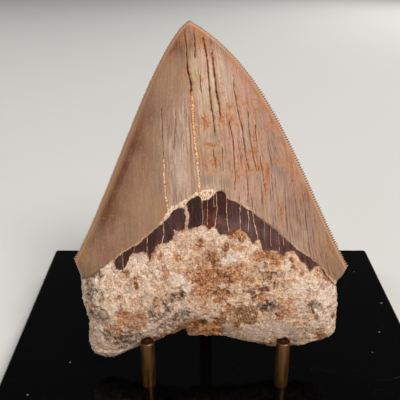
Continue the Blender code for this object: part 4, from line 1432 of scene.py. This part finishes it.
def root_patches(tree, plan, parts, colour, ragged, clump, small, tones, fine_tones):
    """Coloured patches whose grains each draw a tint; gives the colour and the olive ridges."""
    shade = tree.between(0.35, tones[0], fine_tones[0]).slope(0.2, 0.8)
    layers = [
        ((parts[name] + ragged).rise(0.34, 0.58), strength, tree.blend(shade, low_tint, high_tint))
        for name, strength, low_tint, high_tint in ROOT_TINTS
    ]
    slate = (parts["dark"] + ragged * 0.5).rise(0.95, 1.2)
    fan = tree.vectors("DOT_PRODUCT", plan, (1.32, 0.30, 0.0), "Value") + small * 0.8
    fan = fan.wave() * clump.rise(0.40, 0.60, 0.15, 1.0)
    olive = (parts["olive"] + ragged * 0.9).rise(0.36, 0.62)
    colour = tree.coats(
        colour,
        *layers,
        (slate, 0.9, tree.blend(tones[1], (74, 56, 48), (150, 128, 114))),
        (olive, 0.9, tree.blend(fan.rise(-0.7, 0.7), (96, 58, 26), (172, 126, 72))),
    )
    return colour, fan * olive


def root_finish(tree, place, plan, parts):
    """Colour, roughness and height of the granular, stained root."""
    across, level = parts["across"], parts["level"]
    bend = tree.noise(place, 1.6, 2.0, 0.5, 0.0, "Color")
    bent = tree.vectors("ADD", place, tree.vectors("MULTIPLY", bend, (0.8, 0.8, 0.8)))
    small = tree.noise(place, 1.0, 3.0, 0.6)
    tiny = tree.noise(place, 2.6, 2.0, 0.6)
    clump = tree.noise(place, 0.42, 3.0, 0.6)
    clumped = clump.rise(0.36, 0.56)
    grit = small * 0.5 + tiny * 0.5
    ragged = (grit - 0.5) * 2.1 + (clump - 0.5) * 1.3
    crumb_distance, tones = tree.cells(bent, 1.7)
    fine_tones = tree.cells(bent, 3.0)[1]
    busy = (parts["rust"].most(parts["dark"]) + (clump - 0.5) * 1.4).slope(0.0, 0.8, 0.55, 1.0)
    calm = parts["grey_pink"].slope(0.3, 1.0, 1.0, 0.45)
    calm = calm * parts["white"].rise(0.3, 0.8, 1.0, 0.45) * busy

    colour = root_ground(tree, place, parts)
    grains = (ragged, clump, small, tones, fine_tones)
    colour, ridges = root_patches(tree, plan, parts, colour, *grains)
    flecks = (tree.noise(place, 0.55, 4.0, 0.7) + ragged * 0.15).rise(0.54, 0.62) * calm
    light = tones[1].rise(0.72, 0.80) * calm * parts["rust"].rise(0.2, 0.7, 1.0, 0.35)
    # painted shade in the gaps between the crumbs
    gaps = crumb_distance.rise(0.45, 0.75) * calm
    # painted shade along the curly seams
    seams = tree.noise(tree.vectors("MULTIPLY", bent, (0.42, 0.42, 0.42)), 1.0, 3.0, 0.6, 0.6)
    seams = abs(seams - 0.5).rise(0.004, 0.030, 1.0, 0.0) * calm * clump.rise(0.44, 0.56)
    # a painted shadow line just below the band's foot
    rim = (parts["above_root"] + ragged * 0.5).rise(-0.9, 0.0) * clumped
    pepper = tree.mask("specks", bent, 1.7, 0.26, 0.30) * clumped
    dots = tree.mask("specks", bent, 0.95, 0.20, 0.30).most(pepper) * calm
    # painted shade in the hollows and pits
    hollow = (parts["hollow"] + ragged * 0.3).rise(0.30, 0.95)
    # The orange ledge by the notch faces down into shade; its orange is painted lighter here, as if
    # lit
    painted_ledge_light = level.rise(4.5, 2.5) * across.rise(-13.0, -10.0) * across.rise(3.5, 1.5)
    ledge_orange_and_light = tree.blend((small + clump).rise(0.88, 1.06), (124, 46, 20), (250, 176, 112))
    colour = tree.coats(
        colour,
        # flecks and single crumbs that are lighter, tan or brown
        (flecks, 0.7, (192, 128, 84)),
        (light, 0.50, (252, 236, 216)),
        (tones[0].rise(0.80, 0.86) * calm, 0.42, (176, 124, 84)),
        (tones[2].rise(0.88, 0.92) * calm, 0.58, (122, 78, 50)),
        (fine_tones[2].rise(0.86, 0.90) * calm, 0.50, (112, 70, 44)),
        # painted shade in the gaps between crumbs and along the seams, a painted shadow line below the
        # band, dots, and painted shade in the pits
        (gaps, 0.30, (128, 80, 50)),
        (seams, 0.60, (116, 58, 32)),
        (rim, 0.6, (122, 72, 42)),
        (dots, 0.88, (96, 58, 36)),
        (hollow, 0.62, (116, 62, 34)),
        # painted light on the orange ledge
        (painted_ledge_light, 0.62, ledge_orange_and_light),
    )
    colour = tree.blend(1.0, colour, grit.slope(0.37, 0.63, 0.68, 1.22), "MULTIPLY")
    # The dark brown of the deep holes, painted darker as the shade inside them
    deep = (parts["deep"] + ragged * 1.6).rise(0.45, 0.85)
    deep_hole_shade = tree.blend(tones[1], (78, 40, 24), (146, 92, 62))
    colour = tree.coats(colour, (deep, 0.85, deep_hole_shade))
    height = gaps * -0.12 - seams * 0.14 + small * 0.22 + tiny * 0.16
    height = height - dots * 0.20 + ridges * 0.07
    return colour, tree.between(light, 0.92, 0.8), height


def tooth_material():
    """Enamel, dark band and root, parted by the signed distances stored on the mesh."""
    material, tree, shader = new_material("fossil_tooth_enamel_and_root")
    place = object_millimetres(tree)
    parts = {}
    for name, fields in TOOTH_VECTORS.items():
        vector, split = tree.attribute(name)
        parts[name] = vector
        parts.update(zip(fields, split))
    layers = (enamel_finish, band_finish, root_finish)
    enamel, band, root = (finish(tree, place, parts["plan"], parts) for finish in layers)
    in_crown = parts["above_band"].rise(-0.08, 0.08)
    in_root = parts["above_root"].rise(-0.12, 0.12, 1.0, 0.0)
    joins = (tree.blend, tree.between, tree.between)
    colour, roughness, height = (
        join(in_root, join(in_crown, below, above), lowest)
        for join, above, below, lowest in zip(joins, enamel, band, root)
    )

    crumble = tree.noise(place, 1.9, 3.0).rise(0.52, 0.62)
    heavy = parts["crust_width"].rise(0.20, 0.60)
    thin_crust = tree.blend(crumble, (206, 164, 126), (150, 104, 72))
    thick_crust = tree.blend(crumble, (236, 208, 180), (164, 104, 64))
    crust = abs(parts["crust"]).rise(0.75, 1.15, 1.0, 0.0) * parts["above_root"].rise(-0.1, 0.1)
    crust = crust * heavy.slope(0.0, 1.0, 0.75, 0.95)
    colour = tree.blend(crust, colour, tree.blend(heavy, thin_crust, thick_crust))
    feed_shader(tree, shader, colour, roughness, height, MM, 1.0)
    shader["Specular IOR Level"].default_value = 0.22
    return material


# ------------------------------------------------------------------ stand materials


def brass_material():
    """Dull brown brass: drawn lines, long tarnish clouds partly standing for dark reflections, a
    painted dark reflection on the end face.
    """
    material, tree, shader = new_material("dull_brass_rod")
    place = object_millimetres(tree)
    below, radius = tree.attribute("rod")[1][:2]
    upright = tree.vectors("MULTIPLY", place, (1.0, 1.0, 0.12))
    fine = tree.noise(tree.stretched(place, (3.0, 3.0, 0.10)), 1.0, 3.0)
    # A painted reflection: the end face darkened as if it mirrored dark surroundings, its centre mark
    # left out
    dark_end_reflection = below.rise(0.16, 0.05) * (1.0 - radius.rise(0.34, 0.6, 1.0, 0.0))
    colour = tree.coats(
        tree.blend(below.rise(1.0, 14.0), (138, 98, 66), (152, 110, 62)),
        # tarnish clouds, drawn long up the rod so that they also paint in its dark reflections
        (tree.mask("mottle", upright, 0.7, 0.38, 0.62), 0.5, (84, 52, 30)),
        (dark_end_reflection, 0.8, (58, 36, 26)),
    )
    roughness = tree.between(fine.rise(0.35, 0.65), 0.40, 0.55)
    feed_shader(tree, shader, colour, roughness, fine, 0.02 * MM, 0.6)
    shader["Metallic"].default_value = 1.0
    return material


def plate_material():
    """Gloss black with hair scratches, faint smears and a few specks of dust."""
    material, tree, shader = new_material("gloss_black_plate")
    place = object_millimetres(tree)
    dust = tree.mask("specks", place, 0.16, 0.22, 0.05)
    smear = tree.mask("mottle", place, 0.035, 0.45, 0.75)
    bent = tree.noise(tree.stretched(place, (0.02, 0.05, 0.05)), 1.0, 2.0)
    scratch = abs(bent - 0.52).rise(0.0, 0.0006, 1.0, 0.0) * 0.3
    colour = tree.blend(dust, (2, 2, 3), (110, 106, 100))
    tree.feed(shader["Base Color"], tree.blend(scratch, colour, (60, 58, 56)))
    roughness = tree.between(smear, 0.045, 0.10)
    tree.feed(shader["Roughness"], tree.between(dust.most(scratch), roughness, 0.7))
    shader["Specular IOR Level"].default_value = 0.24
    return material


def floor_material():
    """Plain pale matt floor with a barely visible unevenness."""
    material, tree, shader = new_material("pale_floor")
    cloud = tree.noise(tree.add("ShaderNodeTexCoord")["Object"], 3.0, 3.0)
    tree.feed(shader["Base Color"], tree.blend(cloud, (207, 205, 201), (214, 212, 208)))
    shader["Roughness"].default_value = 0.8
    return material


# ------------------------------------------------------------------ stage


def make_floor():
    """One pale square, far larger than the view."""
    half = FLOOR_SIZE / 2
    corners = np.array([(-half, -half, 0), (half, -half, 0), (half, half, 0), (-half, half, 0)])
    floor = mesh_object("floor", corners, [np.arange(4)[None]], SMOOTH_PEG)
    floor.data.materials.append(floor_material())


def make_light(name, place, size, power, colour, glossy):
    """A square soft light aimed at the tooth's middle; glossy says if it shows in reflections."""
    data = bpy.data.lights.new(name, "AREA")
    data.shape = "SQUARE"
    data.size = size
    data.energy = power
    data.color = colour
    light = bpy.data.objects.new(name, data)
    bpy.context.scene.collection.objects.link(light)
    light.location = place
    aim = Vector(LIGHT_TARGET) - Vector(place)
    light.rotation_euler = aim.to_track_quat("-Z", "Y").to_euler()
    light.visible_glossy = glossy


def make_sky():
    """A dim, slightly cool, even sky."""
    world = bpy.data.worlds.new("studio")
    bpy.context.scene.world = world
    world.use_nodes = True
    sky = world.node_tree.nodes["Background"]
    sky.inputs["Color"].default_value = SKY_COLOUR
    sky.inputs["Strength"].default_value = SKY_STRENGTH


def make_camera():
    """The camera, looking forwards and a little down."""
    data = bpy.data.cameras.new("camera")
    data.lens = CAMERA_LENS
    data.sensor_width = CAMERA_SENSOR
    data.clip_start = CAMERA_NEAREST
    camera = bpy.data.objects.new("camera", data)
    bpy.context.scene.collection.objects.link(camera)
    camera.location = CAMERA_PLACE
    camera.rotation_euler = (CAMERA_PITCH, 0.0, 0.0)
    bpy.context.scene.camera = camera


def place_piece(piece, material, node):
    """Gives a piece its finish, hangs it from the body named root and hides the CAD node that it
    replaces.
    """
    piece.data.materials.append(material)
    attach(piece, "root")
    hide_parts(node)


def main():
    """Stage, then pieces with their finishes, then the plate's finish and the view transform."""
    make_camera()
    make_floor()
    make_sky()
    for light in LIGHTS:
        make_light(*light)
    place_piece(make_tooth(), tooth_material(), "megalodon_tooth")
    brass = brass_material()
    for node in PEG_NODES:
        place_piece(make_peg(node), brass, node)
    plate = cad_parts["base_plate"]
    plate.material_slots[0].material = plate_material()
    bpy.context.scene.view_settings.view_transform = "Standard"


main()
